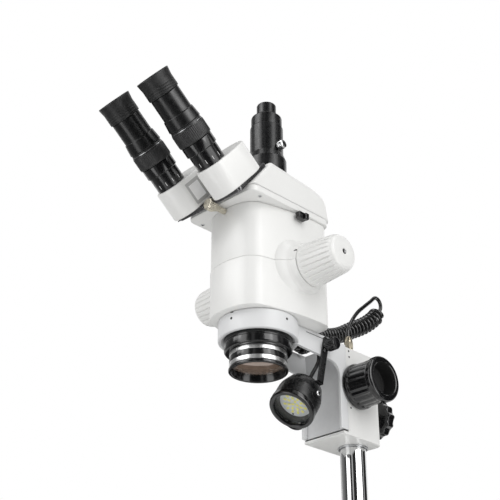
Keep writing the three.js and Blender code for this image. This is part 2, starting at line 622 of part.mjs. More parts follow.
// ---- prism boxes and eyepieces ------------------------------------------------------------
function prismBoxOutline() {
  const { lowerR, upperR, pivot } = BOX;
  const points = [];
  const tilt = Math.asin((upperR - lowerR) / pivot);
  const arc = (r, cy, from, to) => {
    for (let i = 0; i <= 12; i += 1) {
      const a = from + ((to - from) * i) / 12;
      points.push([r * Math.cos(a), cy + r * Math.sin(a)]);
    }
  };
  arc(upperR, pivot, -tilt, Math.PI + tilt);
  arc(lowerR, 0, Math.PI + tilt, 2 * Math.PI - tilt);
  return rounded(points);
}

function prismBox() {
  const body = extruded(prismBoxOutline(), BOX.depth, 2).translate(0, 0, -BOX.depth);
  const entry = disc(11, -BOX.depth - 1, -BOX.depth / 2, 12).translate(0, BOX.pivot, 0);
  const exit = disc(11, -BOX.depth / 2 - 8, 1, 12);
  const passage = block(-9, 0, -BOX.depth / 2 - 8, 9, BOX.pivot, -BOX.depth / 2 + 4);
  return cut(body, entry, exit, passage);
}

// Stations along an eyepiece axis, measured from the front face of its prism box.
const TUBE = { r: 17, collarR: 18.9, collar: 19, neckR: 15, top: 31, neckTop: 44, bore: 12 };
const DIOPTRE = { r: 20.2, bottom: 31.4, step: 44.8, top: 52, bore: 18.4 };
const EYEPIECE = { r: 17.5, collarR: 20, shoulder: 48, seat: 52.3, cone: 66, top: 92, spigotR: 11.5,
  bottom: 22 };
const CUP = { bottom: 92.3, top: 115.6, rimR: 20, r: 18.8 };

const tubeProfile = [
  [TUBE.bore, GAP], [TUBE.r, GAP], [TUBE.r, TUBE.collar], [TUBE.collarR, TUBE.collar + 0.8],
  [TUBE.collarR, TUBE.top],
  [TUBE.neckR, TUBE.top], [TUBE.neckR, TUBE.neckTop], [TUBE.bore, TUBE.neckTop], [TUBE.bore, GAP],
];
const dioptreProfile = [
  [TUBE.neckR + RUN, DIOPTRE.bottom], [DIOPTRE.r, DIOPTRE.bottom], [DIOPTRE.r, DIOPTRE.top - 3],
  [DIOPTRE.bore + 0.6, DIOPTRE.top],
  [DIOPTRE.bore, DIOPTRE.top], [DIOPTRE.bore, DIOPTRE.step], [TUBE.neckR + RUN, DIOPTRE.step],
  [TUBE.neckR + RUN, DIOPTRE.bottom],
];
const eyepieceProfile = [
  [0, EYEPIECE.bottom + 3], [EYEPIECE.spigotR - 2, EYEPIECE.bottom], [EYEPIECE.spigotR, EYEPIECE.bottom],
  [EYEPIECE.spigotR, EYEPIECE.shoulder],
  [EYEPIECE.r, EYEPIECE.shoulder], [EYEPIECE.r, EYEPIECE.seat], [EYEPIECE.collarR, EYEPIECE.seat],
  [18.5, EYEPIECE.cone],
  [EYEPIECE.r, EYEPIECE.cone], [EYEPIECE.r, EYEPIECE.top], [15.4, EYEPIECE.top], [15.4, 99], [12, 99],
  [11, 96], [0, 97],
];
const cupProfile = [
  [15.8, CUP.bottom], [CUP.r, CUP.bottom], [CUP.r, CUP.top - 8], [CUP.rimR, CUP.top],
  [CUP.rimR - 1.2, CUP.top], [16.6, CUP.top - 7],
  [15.8, CUP.top - 10], [15.8, CUP.bottom],
];

for (const [side, sign] of SIDES) {
  const eye = onSlope(faceS, eyeU, sign * EYE.x);
  part(eye, `prism_box_${side}`, prismBox(), WHITE);
  part(eye, `eyepiece_tube_${side}`, turned(tubeProfile, 18), BLACK);
  part(eye, `dioptre_ring_${side}`, turned(dioptreProfile, 20), BLACK);
  part(eye, `eyepiece_${side}`, turned(eyepieceProfile, 18), BLACK);
  part(eye, `eyecup_${side}`, turned(cupProfile, 18), RUBBER);
}

// ---- lamp cord ----------------------------------------------------------------------------
// It leaves the back of the lamp, climbs inside the arm, becomes a curly cord behind it, and ends as a
// plain lead in the gland on the pole.
const COIL_ROUTE = [
  [-17, 82, 59], [-20, 99, 66.5], [-23.5, 118, 80.5], [-26.5, 136.5, 93.7], [-28.5, 160, 101.4],
  [-28.5, 175, 107.5],
  [-26, 192.5, 117.6], [-20, 213, 129.7], [-15.1, 225.5, 140.6], [-12, 233.5, 151],
];
const LEAD_ROUTE = [
  [-11.6, 235.2, 153.2], [-10.6, 236.3, 157.2], [-9.8, 235.8, 161.8], [-9, 232.9, 165.8],
  [-8.2, 228.2, 167.9],
  [-7.3, 223, 167.4], [-6.4, 218.4, 164.8], [-5.2, 209.5, 157], [-4, 196, 145.8], [-3, 181, 132.6],
  [-1.6, 168.6, 118.6],
  [-0.5, 160.4, 107], [0, 156.1, 98.6], [0, 156, 90.3],
];
const bootEnd = LAMP.length + 13 + GAP;
const LAMP_CORD_ROUTE = [
  [0, LAMP.y + bootEnd * Math.sin(LAMP.tilt), LAMP.z + bootEnd * Math.cos(LAMP.tilt)], [0, 91.5, 27.5],
  [0.5, 97, 36.5],
  [1.8, 99, 44], [3, 96.5, 50.6], [3.1, 89.5, 54], [1.8, 80.5, 54], [-2, 74, 53], [-7.4, 71.6, 52.6],
  [-12.6, 73, 53.8],
  [-15.8, 76.8, 56], [-17, 81.6, 58.8],
];
part(optics, "curly_cord", tube(COIL_ROUTE, COIL_R, 10, 16), RUBBER);
part(optics, "pole_lead", tube(LEAD_ROUTE, CORD_R, 8, 20), RUBBER);
part(optics, "lamp_cord", tube(LAMP_CORD_ROUTE, CORD_R, 8, 20), RUBBER);

export default microscope;
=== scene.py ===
import math
import random
import bpy
import bmesh
from mathutils import Matrix, Vector


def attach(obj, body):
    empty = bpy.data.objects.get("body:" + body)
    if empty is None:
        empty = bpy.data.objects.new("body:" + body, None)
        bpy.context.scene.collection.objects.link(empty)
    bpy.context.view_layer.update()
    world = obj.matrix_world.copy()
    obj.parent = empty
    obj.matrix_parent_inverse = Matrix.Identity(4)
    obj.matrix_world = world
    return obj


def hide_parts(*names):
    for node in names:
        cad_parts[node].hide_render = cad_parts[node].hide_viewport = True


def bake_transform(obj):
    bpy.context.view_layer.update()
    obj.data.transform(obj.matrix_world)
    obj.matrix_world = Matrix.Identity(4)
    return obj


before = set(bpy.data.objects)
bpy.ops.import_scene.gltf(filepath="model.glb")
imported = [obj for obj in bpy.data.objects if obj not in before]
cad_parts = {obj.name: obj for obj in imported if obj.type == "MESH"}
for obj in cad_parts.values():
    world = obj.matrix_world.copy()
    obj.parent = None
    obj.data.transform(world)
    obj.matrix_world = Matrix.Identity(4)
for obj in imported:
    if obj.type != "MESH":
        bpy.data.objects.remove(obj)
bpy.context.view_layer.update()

MM = 0.001
LIFT = 275  # the objective's rim above the table, mm
POLE_Y = 156
PINION_Y, PINION_Z = 131, 9.7
ZOOM_Y, ZOOM_Z = 22.1, 117.3
TAU = 2 * math.pi
rad = math.radians
INCLINE = rad(38.5)
COS, SIN = math.cos(INCLINE), math.sin(INCLINE)
SIDES = (("left", -1), ("right", 1))


def at(x, y, z):
    return Matrix.Translation((x, y, z + LIFT))


# ---- camera ----
camera = bpy.data.objects.new("camera", bpy.data.cameras.new("camera"))
bpy.context.collection.objects.link(camera)
camera.data.lens = 82.8
camera.data.sensor_width = 36
camera.data.clip_start = 0.05
camera.data.clip_end = 20
camera.location = (0.82678, -0.83965, -0.46677 + LIFT * MM)
camera.rotation_euler = Vector((-0.6261, 0.6261, 0.4648)).to_track_quat("-Z", "Y").to_euler()
bpy.context.scene.camera = camera
bpy.context.scene.view_settings.view_transform = "Standard"


# ---- materials ----
class Look:
    """A Principled material with its colour, roughness and relief from noise at a real scale."""

    def __init__(self, name, color, rough=0.4, metal=0.0, **sockets):
        self.m = bpy.data.materials.new(name)
        self.m.use_nodes = True
        self.t = self.m.node_tree
        self.p = self.t.nodes["Principled BSDF"]
        self.p.inputs["Metallic"].default_value = metal
        self.p.inputs["Roughness"].default_value = rough
        self.color = color
        self.rough = rough
        for key, value in sockets.items():
            self.p.inputs[key.replace("_", " ")].default_value = value
        self.p.inputs["Base Color"].default_value = (*color, 1)
        coords = self.t.nodes.new("ShaderNodeTexCoord")
        self.coords = coords.outputs["Object"]
        self.height = None

    def noise(self, scale, detail=3, stretch=None):
        source = self.coords
        if stretch:
            mapping = self.t.nodes.new("ShaderNodeMapping")
            mapping.inputs["Scale"].default_value = stretch
            self.t.links.new(source, mapping.inputs["Vector"])
            source = mapping.outputs["Vector"]
        node = self.t.nodes.new("ShaderNodeTexNoise")
        node.inputs["Scale"].default_value = scale
        node.inputs["Detail"].default_value = detail
        node.inputs["Roughness"].default_value = 0.55
        self.t.links.new(source, node.inputs["Vector"])
        return node.outputs["Fac"]

    def ramp(self, fac, low, high):
        """Colours from low to high over the middle of the noise's range."""
        node = self.t.nodes.new("ShaderNodeValToRGB")
        for stop, position, color in zip(node.color_ramp.elements, (0.3, 0.7), (low, high)):
            stop.position = position
            stop.color = (*color, 1)
        self.t.links.new(fac, node.inputs["Fac"])
        return node.outputs["Color"]

    def vary(self, scale, amount, **more):
        """Colour wanders by amount either side."""
        low = [c * (1 - amount) for c in self.color]
        high = [min(1, c * (1 + amount)) for c in self.color]
        self.t.links.new(self.ramp(self.noise(scale, **more), low, high), self.p.inputs["Base Color"])
        return self

    def worn(self, color, amount=0.5):
        """Convex edges rub towards a second colour, in patches."""
        base = self.p.inputs["Base Color"].links[0].from_socket
        edge = self.t.nodes.new("ShaderNodeNewGeometry").outputs["Pointiness"]
        span = self.t.nodes.new("ShaderNodeMapRange")
        span.inputs["From Min"].default_value = 0.53
        span.inputs["From Max"].default_value = 0.62
        span.inputs["To Max"].default_value = amount
        self.t.links.new(edge, span.inputs["Value"])
        patch = self.t.nodes.new("ShaderNodeMath")
        patch.operation = "MULTIPLY"
        self.t.links.new(span.outputs["Result"], patch.inputs[0])
        self.t.links.new(self.noise(180, detail=4), patch.inputs[1])
        mix = self.t.nodes.new("ShaderNodeMix")
        mix.data_type = "RGBA"
        mix.inputs[7].default_value = (*color, 1)
        self.t.links.new(patch.outputs["Value"], mix.inputs[0])
        self.t.links.new(base, mix.inputs[6])
        self.t.links.new(mix.outputs[2], self.p.inputs["Base Color"])
        return self

    def uneven(self, scale, spread, **more):
        """Roughness wanders by spread either side."""
        node = self.t.nodes.new("ShaderNodeMapRange")
        node.inputs["From Min"].default_value = 0.3
        node.inputs["From Max"].default_value = 0.7
        node.inputs["To Min"].default_value = max(0.02, self.rough - spread)
        node.inputs["To Max"].default_value = self.rough + spread
        self.t.links.new(self.noise(scale, **more), node.inputs["Value"])
        self.t.links.new(node.outputs["Result"], self.p.inputs["Roughness"])
        return self

    def grain(self, scale, depth, **more):
        """Relief of about depth mm, from noise."""
        bump = self.t.nodes.new("ShaderNodeBump")
        bump.inputs["Distance"].default_value = depth * MM
        bump.inputs["Strength"].default_value = 1
        self.t.links.new(self.noise(scale, **more), bump.inputs["Height"])
        if self.height:
            self.t.links.new(self.height, bump.inputs["Normal"])
        self.height = bump.outputs["Normal"]
        self.t.links.new(self.height, self.p.inputs["Normal"])
        return self


white = Look("white_enamel", (0.80, 0.80, 0.785), 0.36, Coat_Weight=0.25, Coat_Roughness=0.2)
white = white.vary(14, 0.012).uneven(60, 0.05).grain(1500, 0.012, detail=2)
pale = Look("pale_enamel", (0.70, 0.705, 0.71), 0.42).vary(16, 0.015).uneven(60, 0.05)
pale = pale.grain(1300, 0.015, detail=2)
ivory = Look("white_plastic", (0.80, 0.80, 0.785), 0.33, Coat_Weight=0.2).vary(20, 0.012).uneven(90, 0.05)
ivory = ivory.grain(2200, 0.006)
gloss = Look("black_gloss", (0.005, 0.005, 0.0055), 0.16, Coat_Weight=0.5, Coat_Roughness=0.08)
gloss = gloss.vary(40, 0.1).uneven(120, 0.06).grain(900, 0.008)
satin = Look("black_satin", (0.006, 0.0062, 0.0066), 0.28).vary(50, 0.12).uneven(200, 0.06).grain(2600, 0.006)
charcoal = Look("charcoal_satin", (0.018, 0.018, 0.0185), 0.36).vary(50, 0.1).uneven(200, 0.06)
charcoal = charcoal.grain(2600, 0.006)
anodised = Look("black_anodised", (0.005, 0.005, 0.0055), 0.2, Coat_Weight=0.4, Coat_Roughness=0.1)
anodised = anodised.vary(60, 0.1).uneven(400, 0.04).grain(1400, 0.002)
rubber = Look("rubber", (0.009, 0.0092, 0.0095), 0.45).vary(70, 0.12).uneven(300, 0.08).grain(1800, 0.02)
cordskin = Look("cord_skin", (0.005, 0.005, 0.0053), 0.15, Coat_Weight=0.5)
cordskin = cordskin.vary(80, 0.1).uneven(300, 0.04).grain(900, 0.004)
chrome = Look("chrome", (0.78, 0.785, 0.79), 0.09, 1).vary(30, 0.03).uneven(300, 0.03, stretch=(1, 1, 0.1))
chrome = chrome.grain(400, 0.002, stretch=(1, 1, 0.08))
silver = Look("turned_silver", (0.88, 0.88, 0.88), 0.3, 1).uneven(500, 0.05, stretch=(0.1, 0.1, 8))
silver = silver.vary(60, 0.03).grain(900, 0.003, stretch=(0.1, 0.1, 8))
steel = Look("steel", (0.56, 0.57, 0.58), 0.28, 1).vary(60, 0.05).uneven(400, 0.06).grain(900, 0.004)
brass = Look("pale_brass", (0.66, 0.62, 0.52), 0.3, 1).vary(90, 0.04).uneven(300, 0.05).grain(1200, 0.002)
bronze = Look("nickel_bronze", (0.40, 0.36, 0.28), 0.3, 1).vary(90, 0.06).uneven(300, 0.05).grain(1200, 0.002)
aluminium = Look("machined_aluminium", (0.55, 0.56, 0.57), 0.34, 1).vary(60, 0.05).uneven(500, 0.06)
aluminium = aluminium.grain(900, 0.004, stretch=(1, 1, 8))
plate_grey = Look("dark_plate", (0.16, 0.16, 0.165), 0.26, 0.9).vary(60, 0.1).uneven(300, 0.06)
plate_grey = plate_grey.grain(1500, 0.005)
lens = Look("coated_lens", (0.30, 0.215, 0.165), 0.05, 0.35, Coat_Weight=1, Coat_Roughness=0.02)
lens = lens.vary(25, 0.12).uneven(40, 0.02)
eyeglass = Look("eye_lens", (0.02, 0.03, 0.045), 0.04, Coat_Weight=1, Coat_Roughness=0.02)
eyeglass = eyeglass.vary(20, 0.1).uneven(40, 0.01)
# Matt near-black: painted shade in screw sockets, holes, seams, slits, grooves, bores and gaps; also the
# printed ticks of the dimmer scale and the black screws on the LED board.
shade_and_print_black = Look("painted_shade_and_print", (0.006, 0.006, 0.006), 0.7).vary(80, 0.2).grain(900, 0.01)
mark = Look("white_mark", (0.85, 0.85, 0.84), 0.5).vary(200, 0.03).grain(3000, 0.004)
frosted = Look("frosted_glass", (0.72, 0.75, 0.75), 0.55, Transmission_Weight=0.3)
frosted = frosted.vary(40, 0.02).uneven(200, 0.05).grain(2500, 0.01)
cover_glass = Look("cover_glass", (0.95, 0.97, 0.97), 0.03, Transmission_Weight=1.0, IOR=1.2).uneven(40, 0.01)
board = Look("led_board", (0.9, 0.9, 0.9), 0.45).vary(90, 0.04).uneven(200, 0.05).grain(2000, 0.006)
# The LED faces glow a little: painted light that lifts the LEDs shaded inside the housing.
phosphor_painted_glow = Look("led_phosphor_painted_glow", (0.88, 0.80, 0.22), 0.35,
                Emission_Color=(0.8, 0.72, 0.2, 1), Emission_Strength=0.22)
phosphor_painted_glow = phosphor_painted_glow.vary(300, 0.1).uneven(300, 0.05)
reflector = Look("lamp_reflector", (0.10, 0.10, 0.10), 0.35, 0.3).vary(60, 0.08).uneven(200, 0.05)
reflector = reflector.grain(1200, 0.005)
green = Look("circuit_board", (0.03, 0.17, 0.07), 0.4).vary(120, 0.2).uneven(200, 0.06).grain(1500, 0.01)
tag = Look("blank_tag", (0.46, 0.46, 0.455), 0.5).vary(60, 0.03).uneven(200, 0.05).grain(1500, 0.004)

white.worn((0.6, 0.6, 0.59), 0.5)
pale.worn((0.55, 0.56, 0.57), 0.5)
ivory.worn((0.62, 0.62, 0.6), 0.4)
plate_grey.worn((0.4, 0.4, 0.4), 0.6)
rubber.worn((0.03, 0.03, 0.03), 0.6)
for look, rubbed in ((gloss, 0.05), (satin, 0.06), (charcoal, 0.09), (anodised, 0.08)):
    look.worn((rubbed, rubbed, rubbed), 0.8)


# ---- mesh tools ----
def into_object(bm, name, place):
    """bm, drawn in mm in the frame place, becomes an object in metres."""
    bmesh.ops.recalc_face_normals(bm, faces=bm.faces)
    mesh = bpy.data.meshes.new(name)
    bm.to_mesh(mesh)
    bm.free()
    mesh.transform(Matrix.Scale(MM, 4) @ place)
    made = bpy.data.objects.new(name, mesh)
    bpy.context.collection.objects.link(made)
    return made


def shade(mesh, sharp):
    """Smooth shading, with edges over sharp degrees left crisp."""
    mesh.shade_smooth()
    mesh.set_sharp_from_angle(angle=rad(sharp))


def finish(bm, name, looks, place, body, replaced=(), sharp=35):
    """bm, drawn in mm in the frame place, becomes a smooth-shaded object that rides on body."""
    made = into_object(bm, name, place)
    for look in looks if isinstance(looks, list) else [looks]:
        made.data.materials.append(look.m)
    shade(made.data, sharp)
    if body:
        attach(made, body)
    if replaced:
        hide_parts(*([replaced] if isinstance(replaced, str) else replaced))
    return made


def fillet(points, r):
    """Each corner of an open profile of (radius, height, ...) gets a small arc."""
    out = [points[0]]
    for a, b, c in zip(points, points[1:], points[2:]):
        va, vc = Vector(a[:2]) - Vector(b[:2]), Vector(c[:2]) - Vector(b[:2])
        reach = min(r, va.length * 0.45, vc.length * 0.45)
        if reach < 1e-3 or va.angle(vc) > rad(168):
            out.append(b)
            continue
        p, q = Vector(b[:2]) + va.normalized() * reach, Vector(b[:2]) + vc.normalized() * reach
        for t in (0, 0.33, 0.67, 1):
            s = p * (1 - t) ** 2 + Vector(b[:2]) * 2 * t * (1 - t) + q * t * t
            out.append((s.x, s.y, *b[2:]))
    return out + [points[-1]]


def lathe(bm, profile, segs=96, wave=None, matrix=Matrix(), mat=0, soft=0.5):
    """A form turned about local Z from (radius, height, wave share); wave(angle) adds to the radius."""
    points = fillet([(*p, 0)[:3] for p in profile], soft) if soft else [(*p, 0)[:3] for p in profile]
    rings = []
    for r, z, share in points:
        if r < 1e-4:
            rings.append([bm.verts.new(matrix @ Vector((0, 0, z)))])
            continue
        row = []
        for i in range(segs):
            a = TAU * i / segs
            rr = r + (share * wave(a) if wave and share else 0)
            row.append(bm.verts.new(matrix @ Vector((rr * math.cos(a), rr * math.sin(a), z))))
        rings.append(row)
    for low, high in zip(rings, rings[1:]):
        if len(low) == 1 and len(high) == 1:
            continue
        for i in range(segs):
            j = (i + 1) % segs
            quad = [low[i % len(low)], low[j % len(low)], high[j % len(high)], high[i % len(high)]]
            corners = list(dict.fromkeys(quad))
            if len(corners) > 2:
                bm.faces.new(corners).material_index = mat
    return bm


def rod(bm, r, low, high, segs=96, matrix=Matrix()):
    """A plain closed cylinder, for a cutter."""
    return lathe(bm, [(0, low), (r, low), (r, high), (0, high)], segs, matrix=matrix, soft=0)


def arc_corner(x, y, r, before, after, steps):
    """Points of a curve that rounds the corner at x, y."""
    here = Vector((x, y))
    p = here + (Vector(before) - here).normalized() * r
    q = here + (Vector(after) - here).normalized() * r
    ts = [i / steps for i in range(steps + 1)]
    return [p * (1 - t) ** 2 + here * 2 * t * (1 - t) + q * t * t for t in ts]


def outline(corners, steps=8):
    """Corners (x, y, rounding) to a list of points."""
    points = []
    for i, (x, y, *r) in enumerate(corners):
        if r and r[0] > 0:
            points += arc_corner(x, y, r[0], corners[i - 1][:2], corners[(i + 1) % len(corners)][:2], steps)
        else:
            points.append(Vector((x, y)))
    return points


def prism(bm, points, low, high, bevel=0.8, matrix=Matrix(), mat=0, segments=3):
    """An outline extruded from low to high along local Z, with rounded rims."""
    n = len(points)
    area = sum(points[i - 1].x * points[i].y - points[i].x * points[i - 1].y for i in range(n))
    turn = 1 if area > 0 else -1
    normals = []
    for i in range(n):
        e1, e2 = points[i] - points[i - 1], points[(i + 1) % n] - points[i]
        n1, n2 = Vector((e1.y, -e1.x)).normalized(), Vector((e2.y, -e2.x)).normalized()
        m = n1 + n2
        m = m / max(0.3, m.length_squared / 2) if m.length > 1e-6 else n1
        normals.append(m * turn)
    rows = []
    arcs = [k / segments for k in range(segments + 1)] if bevel > 0 else [0]
    for z, end, order in ((low, -1, arcs[::-1]), (high, 1, arcs)):
        for k in order:
            inset = bevel * (1 - math.cos(k * math.pi / 2))
            height = z - end * (bevel - bevel * math.sin(k * math.pi / 2)) if bevel > 0 else z
            ring = [Vector((*(p - m * inset), height)) for p, m in zip(points, normals)]
            rows.append([bm.verts.new(matrix @ p) for p in ring])
    for a, b in zip(rows, rows[1:]):
        for i in range(n):
            j = (i + 1) % n
            bm.faces.new([a[i], a[j], b[j], b[i]]).material_index = mat
    bm.faces.new(rows[0]).material_index = mat
    bm.faces.new(rows[-1]).material_index = mat
    return bm


def carve(target, cutters, own=False):
    """The cutters, closed objects, are taken out of the target object and deleted."""
    for tool in cutters:
        cut = target.modifiers.new("cut", "BOOLEAN")
        cut.operation = "DIFFERENCE"
        cut.solver = "EXACT"
        cut.object = tool
        cut.use_self = own
    depsgraph = bpy.context.evaluated_depsgraph_get()
    mesh = bpy.data.meshes.new_from_object(target.evaluated_get(depsgraph))
    target.modifiers.clear()
    old, target.data = target.data, mesh
    bpy.data.meshes.remove(old)
    for tool in cutters:
        bpy.data.objects.remove(tool)
    shade(mesh, 30)


def cutter(draw, place):
    """A closed object that carve takes away; draw(bm) draws it in mm in the frame place."""
    bm = bmesh.new()
    draw(bm)
    return into_object(bm, "cutter", place)


def cube(bm, low, high, bevel=0.3, matrix=Matrix(), mat=0):
    (x0, y0, z0), (x1, y1, z1) = low, high
    return prism(bm, [Vector(p) for p in ((x0, y0), (x1, y0), (x1, y1), (x0, y1))], z0, z1, bevel, matrix,
                 mat, 2)


def dress(node, look):
    """A CAD node kept as it is gets a procedural material."""
    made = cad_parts[node]
    for slot in made.material_slots:
        slot.material = look.m
    if not made.material_slots:
        made.data.materials.append(look.m)


ALONG_X = Matrix.Rotation(math.pi / 2, 4, "Y")
ALONG_Y = Matrix.Rotation(-math.pi / 2, 4, "X")
MIRROR_X = Matrix.Scale(-1, 4, (1, 0, 0))
SIDE = Matrix(((0, 0, 1, 0), (1, 0, 0, 0), (0, 1, 0, 0), (0, 0, 0, 1)))  # drawing x, y, depth to Y, Z, X
LAMP_Y, LAMP_Z, LAMP_LEAN = 51.5, -31.1, rad(34.6)
LAMP = at(0, LAMP_Y, LAMP_Z) @ Matrix.Rotation(math.pi - LAMP_LEAN, 4, "X")


def slope(s, u):
    return (-s * COS + u * SIN, s * SIN + u * COS)


FACE_S = 105.8 * COS + 208.2 * SIN
EYE_U = -105.8 * SIN + 208.2 * COS


def on_slope(s, u, x=0):
    y, z = slope(s, u)
    return at(x, y, z) @ Matrix.Rotation(math.pi / 2 - INCLINE, 4, "X")


def screw_head(bm, r, height, matrix, mat=0, recess=1):
    """A small domed screw head standing along local Z; its socket is painted near-black as the shade inside
    it.
    """
    lathe(bm, [(0, 0), (r, 0), (r, height * 0.6), (r * 0.7, height), (r * 0.42, height)], 24, matrix=matrix,
          mat=mat, soft=0.15)
    lathe(bm, [(r * 0.42, height), (r * 0.42, height * 0.35), (0, height * 0.35)], 6, matrix=matrix,
          mat=recess, soft=0)


def socket(bm, r, matrix):
    """A near-black disc at the mouth of a set screw's hole, painted as the shade inside the hole."""
    lathe(bm, [(r, -0.4), (r, 0.06), (r * 0.85, 0.12), (r * 0.7, 0.06), (0, 0.06)], 20, matrix=matrix, soft=0)


# ---- cords ----
COIL = [(-17, 82, 59), (-20, 99, 66.5), (-23.5, 118, 80.5), (-26.5, 136.5, 93.7), (-28.5, 160, 101.4),
        (-28.5, 175, 107.5),
        (-26, 192.5, 117.6), (-20, 213, 129.7), (-15.1, 225.5, 140.6), (-12, 233.5, 151)]
LEAD = [(-11.6, 235.2, 153.2), (-10.6, 236.3, 157.2), (-9.8, 235.8, 161.8), (-9, 232.9, 165.8),
        (-8.2, 228.2, 167.9),
        (-7.3, 223, 167.4), (-6.4, 218.4, 164.8), (-5.2, 209.5, 157), (-4, 196, 145.8), (-3, 181, 132.6),
        (-1.6, 168.6, 118.6),
        (-0.5, 160.4, 107), (0, 156.1, 98.6), (0, 156, 90.3)]
LAMP_CORD = [(0, LAMP_Y + 59.3 * math.sin(LAMP_LEAN), LAMP_Z + 59.3 * math.cos(LAMP_LEAN)), (0, 91.5, 27.5),
             (0.5, 97, 36.5),
             (1.8, 99, 44), (3, 96.5, 50.6), (3.1, 89.5, 54), (1.8, 80.5, 54), (-2, 74, 53),
             (-7.4, 71.6, 52.6),
             (-12.6, 73, 53.8), (-15.8, 76.8, 56), (-17, 81.6, 58.8)]


def smooth_path(points, per=12):
    """Centripetal Catmull-Rom through the points."""
    pts = [Vector(p) for p in points]
    pts = [pts[0] * 2 - pts[1], *pts, pts[-1] * 2 - pts[-2]]
    out = []
    for p0, p1, p2, p3 in zip(pts, pts[1:], pts[2:], pts[3:]):
        t1 = (p1 - p0).length ** 0.5
        t2 = t1 + (p2 - p1).length ** 0.5
        t3 = t2 + (p3 - p2).length ** 0.5
        for i in range(per):
            t = t1 + (t2 - t1) * i / per
            a1 = p0.lerp(p1, t / t1)
            a2 = p1.lerp(p2, (t - t1) / (t2 - t1))
            a3 = p2.lerp(p3, (t - t2) / (t3 - t2))
            b1 = a1.lerp(a2, t / t2)
            b2 = a2.lerp(a3, (t - t1) / (t3 - t1))
            out.append(b1.lerp(b2, (t - t1) / (t2 - t1)))
    return out + [pts[-2]]


def resample(points, count):
    """count points evenly along a path, and its length."""
    total = [0]
    for a, b in zip(points, points[1:]):
        total.append(total[-1] + (b - a).length)
    out, k = [], 0
    for i in range(count):
        s = total[-1] * i / (count - 1)
        while k < len(points) - 2 and total[k + 1] < s:
            k += 1
        out.append(points[k].lerp(points[k + 1], (s - total[k]) / (total[k + 1] - total[k])))
    return out, total[-1]


def frames(points):
    """Tangents and twist-free normals along a path."""
    ahead = [*points[1:], points[-1]]
    behind = [points[0], *points[:-1]]
    tangents = [(b - a).normalized() for a, b in zip(behind, ahead)]
    normal = tangents[0].cross(Vector((1, 0, 0.2))).normalized()
    out = []
    for t in tangents:
        normal = (normal - t * normal.dot(t)).normalized()
        out.append((t, normal, t.cross(normal)))
    return out


def sweep(bm, points, r, sides):
    """A round tube of radius r along the points."""
    turns = [TAU * k / sides for k in range(sides)]
    rows = []
    for p, (_, normal, binormal) in zip(points, frames(points)):
        rows.append([bm.verts.new(p + (normal * math.cos(a) + binormal * math.sin(a)) * r) for a in turns])
    for a, c in zip(rows, rows[1:]):
        for k in range(sides):
            bm.faces.new([a[k], a[(k + 1) % sides], c[(k + 1) % sides], c[k]])
    bm.faces.new(rows[0])
    bm.faces.new(rows[-1])
    return bm


WIRE = 2.4  # radius of the cords


def cord_piece(name, points, node):
    """A length of wire along the points, in place of the CAD node."""
    bm = sweep(bmesh.new(), points, WIRE, 10)
    made = finish(bm, name, cordskin, at(0, 0, 0), None, node, 80)
    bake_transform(made)


COIL_PITCH = 6.1
COIL_R, COIL_GROWTH = 6.5, 2.4  # radius of the turns at the arm, and what it grows by towards the block
UNWIND = 0.9  # turns over which each end of the coil runs out to its centreline


def coil_points():
    """The wire of the curly cord: even turns round its centreline, unwinding to the centre at both ends."""
    line, length = resample(smooth_path([*COIL, LEAD[0]]), 240)
    axes = frames(line)
    per = 16  # points a turn
    count = round(length / COIL_PITCH) * per
    eases = [min(1, min(i, count - i) / (per * UNWIND)) for i in range(count + 1)]
    along = [0]
    turned = [0]
    for ease in eases[1:]:
        along.append(along[-1] + 1 + 0.9 * (1 - ease))
        turned.append(turned[-1] + TAU / per * ease)
    out = []
    for i, ease in enumerate(eases):
        f = along[i] / along[-1] * (len(line) - 1)
        k = min(int(f), len(line) - 2)
        centre = line[k].lerp(line[k + 1], f - k)
        normal, binormal = axes[k][1:]
        fat = min(1, max(0, (i / count - 0.25) / 0.5))
        r = (COIL_R + COIL_GROWTH * fat * fat * (3 - 2 * fat)) * (1 - math.cos(ease * math.pi)) / 2
        out.append(centre + normal * r * math.cos(turned[i]) + binormal * r * math.sin(turned[i]))
    return out


coil = coil_points()
cord_piece("curly_cord_wire", coil, "curly_cord")
lead = resample(smooth_path(LEAD), 60)[0]
half = 30
cord_piece("pole_lead_upper", lead[: half + 1], ())
cord_piece("pole_lead_lower", lead[half:], "pole_lead")
short = resample(smooth_path(LAMP_CORD), 60)[0]
cut_at = 28
cord_piece("lamp_cord_lower", short[: cut_at + 1], ())
cord_piece("lamp_cord_upper", short[cut_at:],
           "lamp_cord")

# ---- objective and ring ----
HERE = at(0, 0, 0)
bm = bmesh.new()
barrel = [(27.4, 8), (28.4, 4), (29.8, 0.3), (30.6, 0), (32.4, 0), (33.1, 0.8), (33.1, 2.6), (32, 3.6),
          (32, 4.4)]
lathe(bm, barrel, mat=0, soft=0.3)
for low, high, m in ((4.4, 9.4, 1), (9.4, 16.3, 0), (16.3, 21.4, 1)):
    lathe(bm, [(31.7, low), (32.1, low + 0.25), (32.1, high - 0.25), (31.7, high)], mat=m, soft=0.2)
lathe(bm, [(31.7, 21.4), (27.4, 21.4), (27.4, 8)], mat=0, soft=0)
finish(bm, "objective_barrel_turned", [anodised, silver], HERE, "head", "objective_barrel",
       28)
bm = lathe(bmesh.new(), [(0, 3.6), (8, 3.8), (15, 4.5), (21, 5.6), (25.6, 7), (27.3, 7.6), (27.3, 14),
                         (0, 14)], mat=0, soft=0)
finish(bm, "objective_lens_ground", lens, HERE, "head", "objective_lens", 30)
bm = bmesh.new()
spigot = [(27, 21.7), (35.6, 21.7), (37, 22.4), (38, 24), (38, 31), (37.7, 31.4), (37.7, 32), (38, 32.4),
          (38, 58), (24, 58), (24, 30), (27, 21.7)]
lathe(bm, spigot, soft=0.3)
finish(bm, "head_spigot_turned", anodised, HERE, "head", "head_spigot", 28)


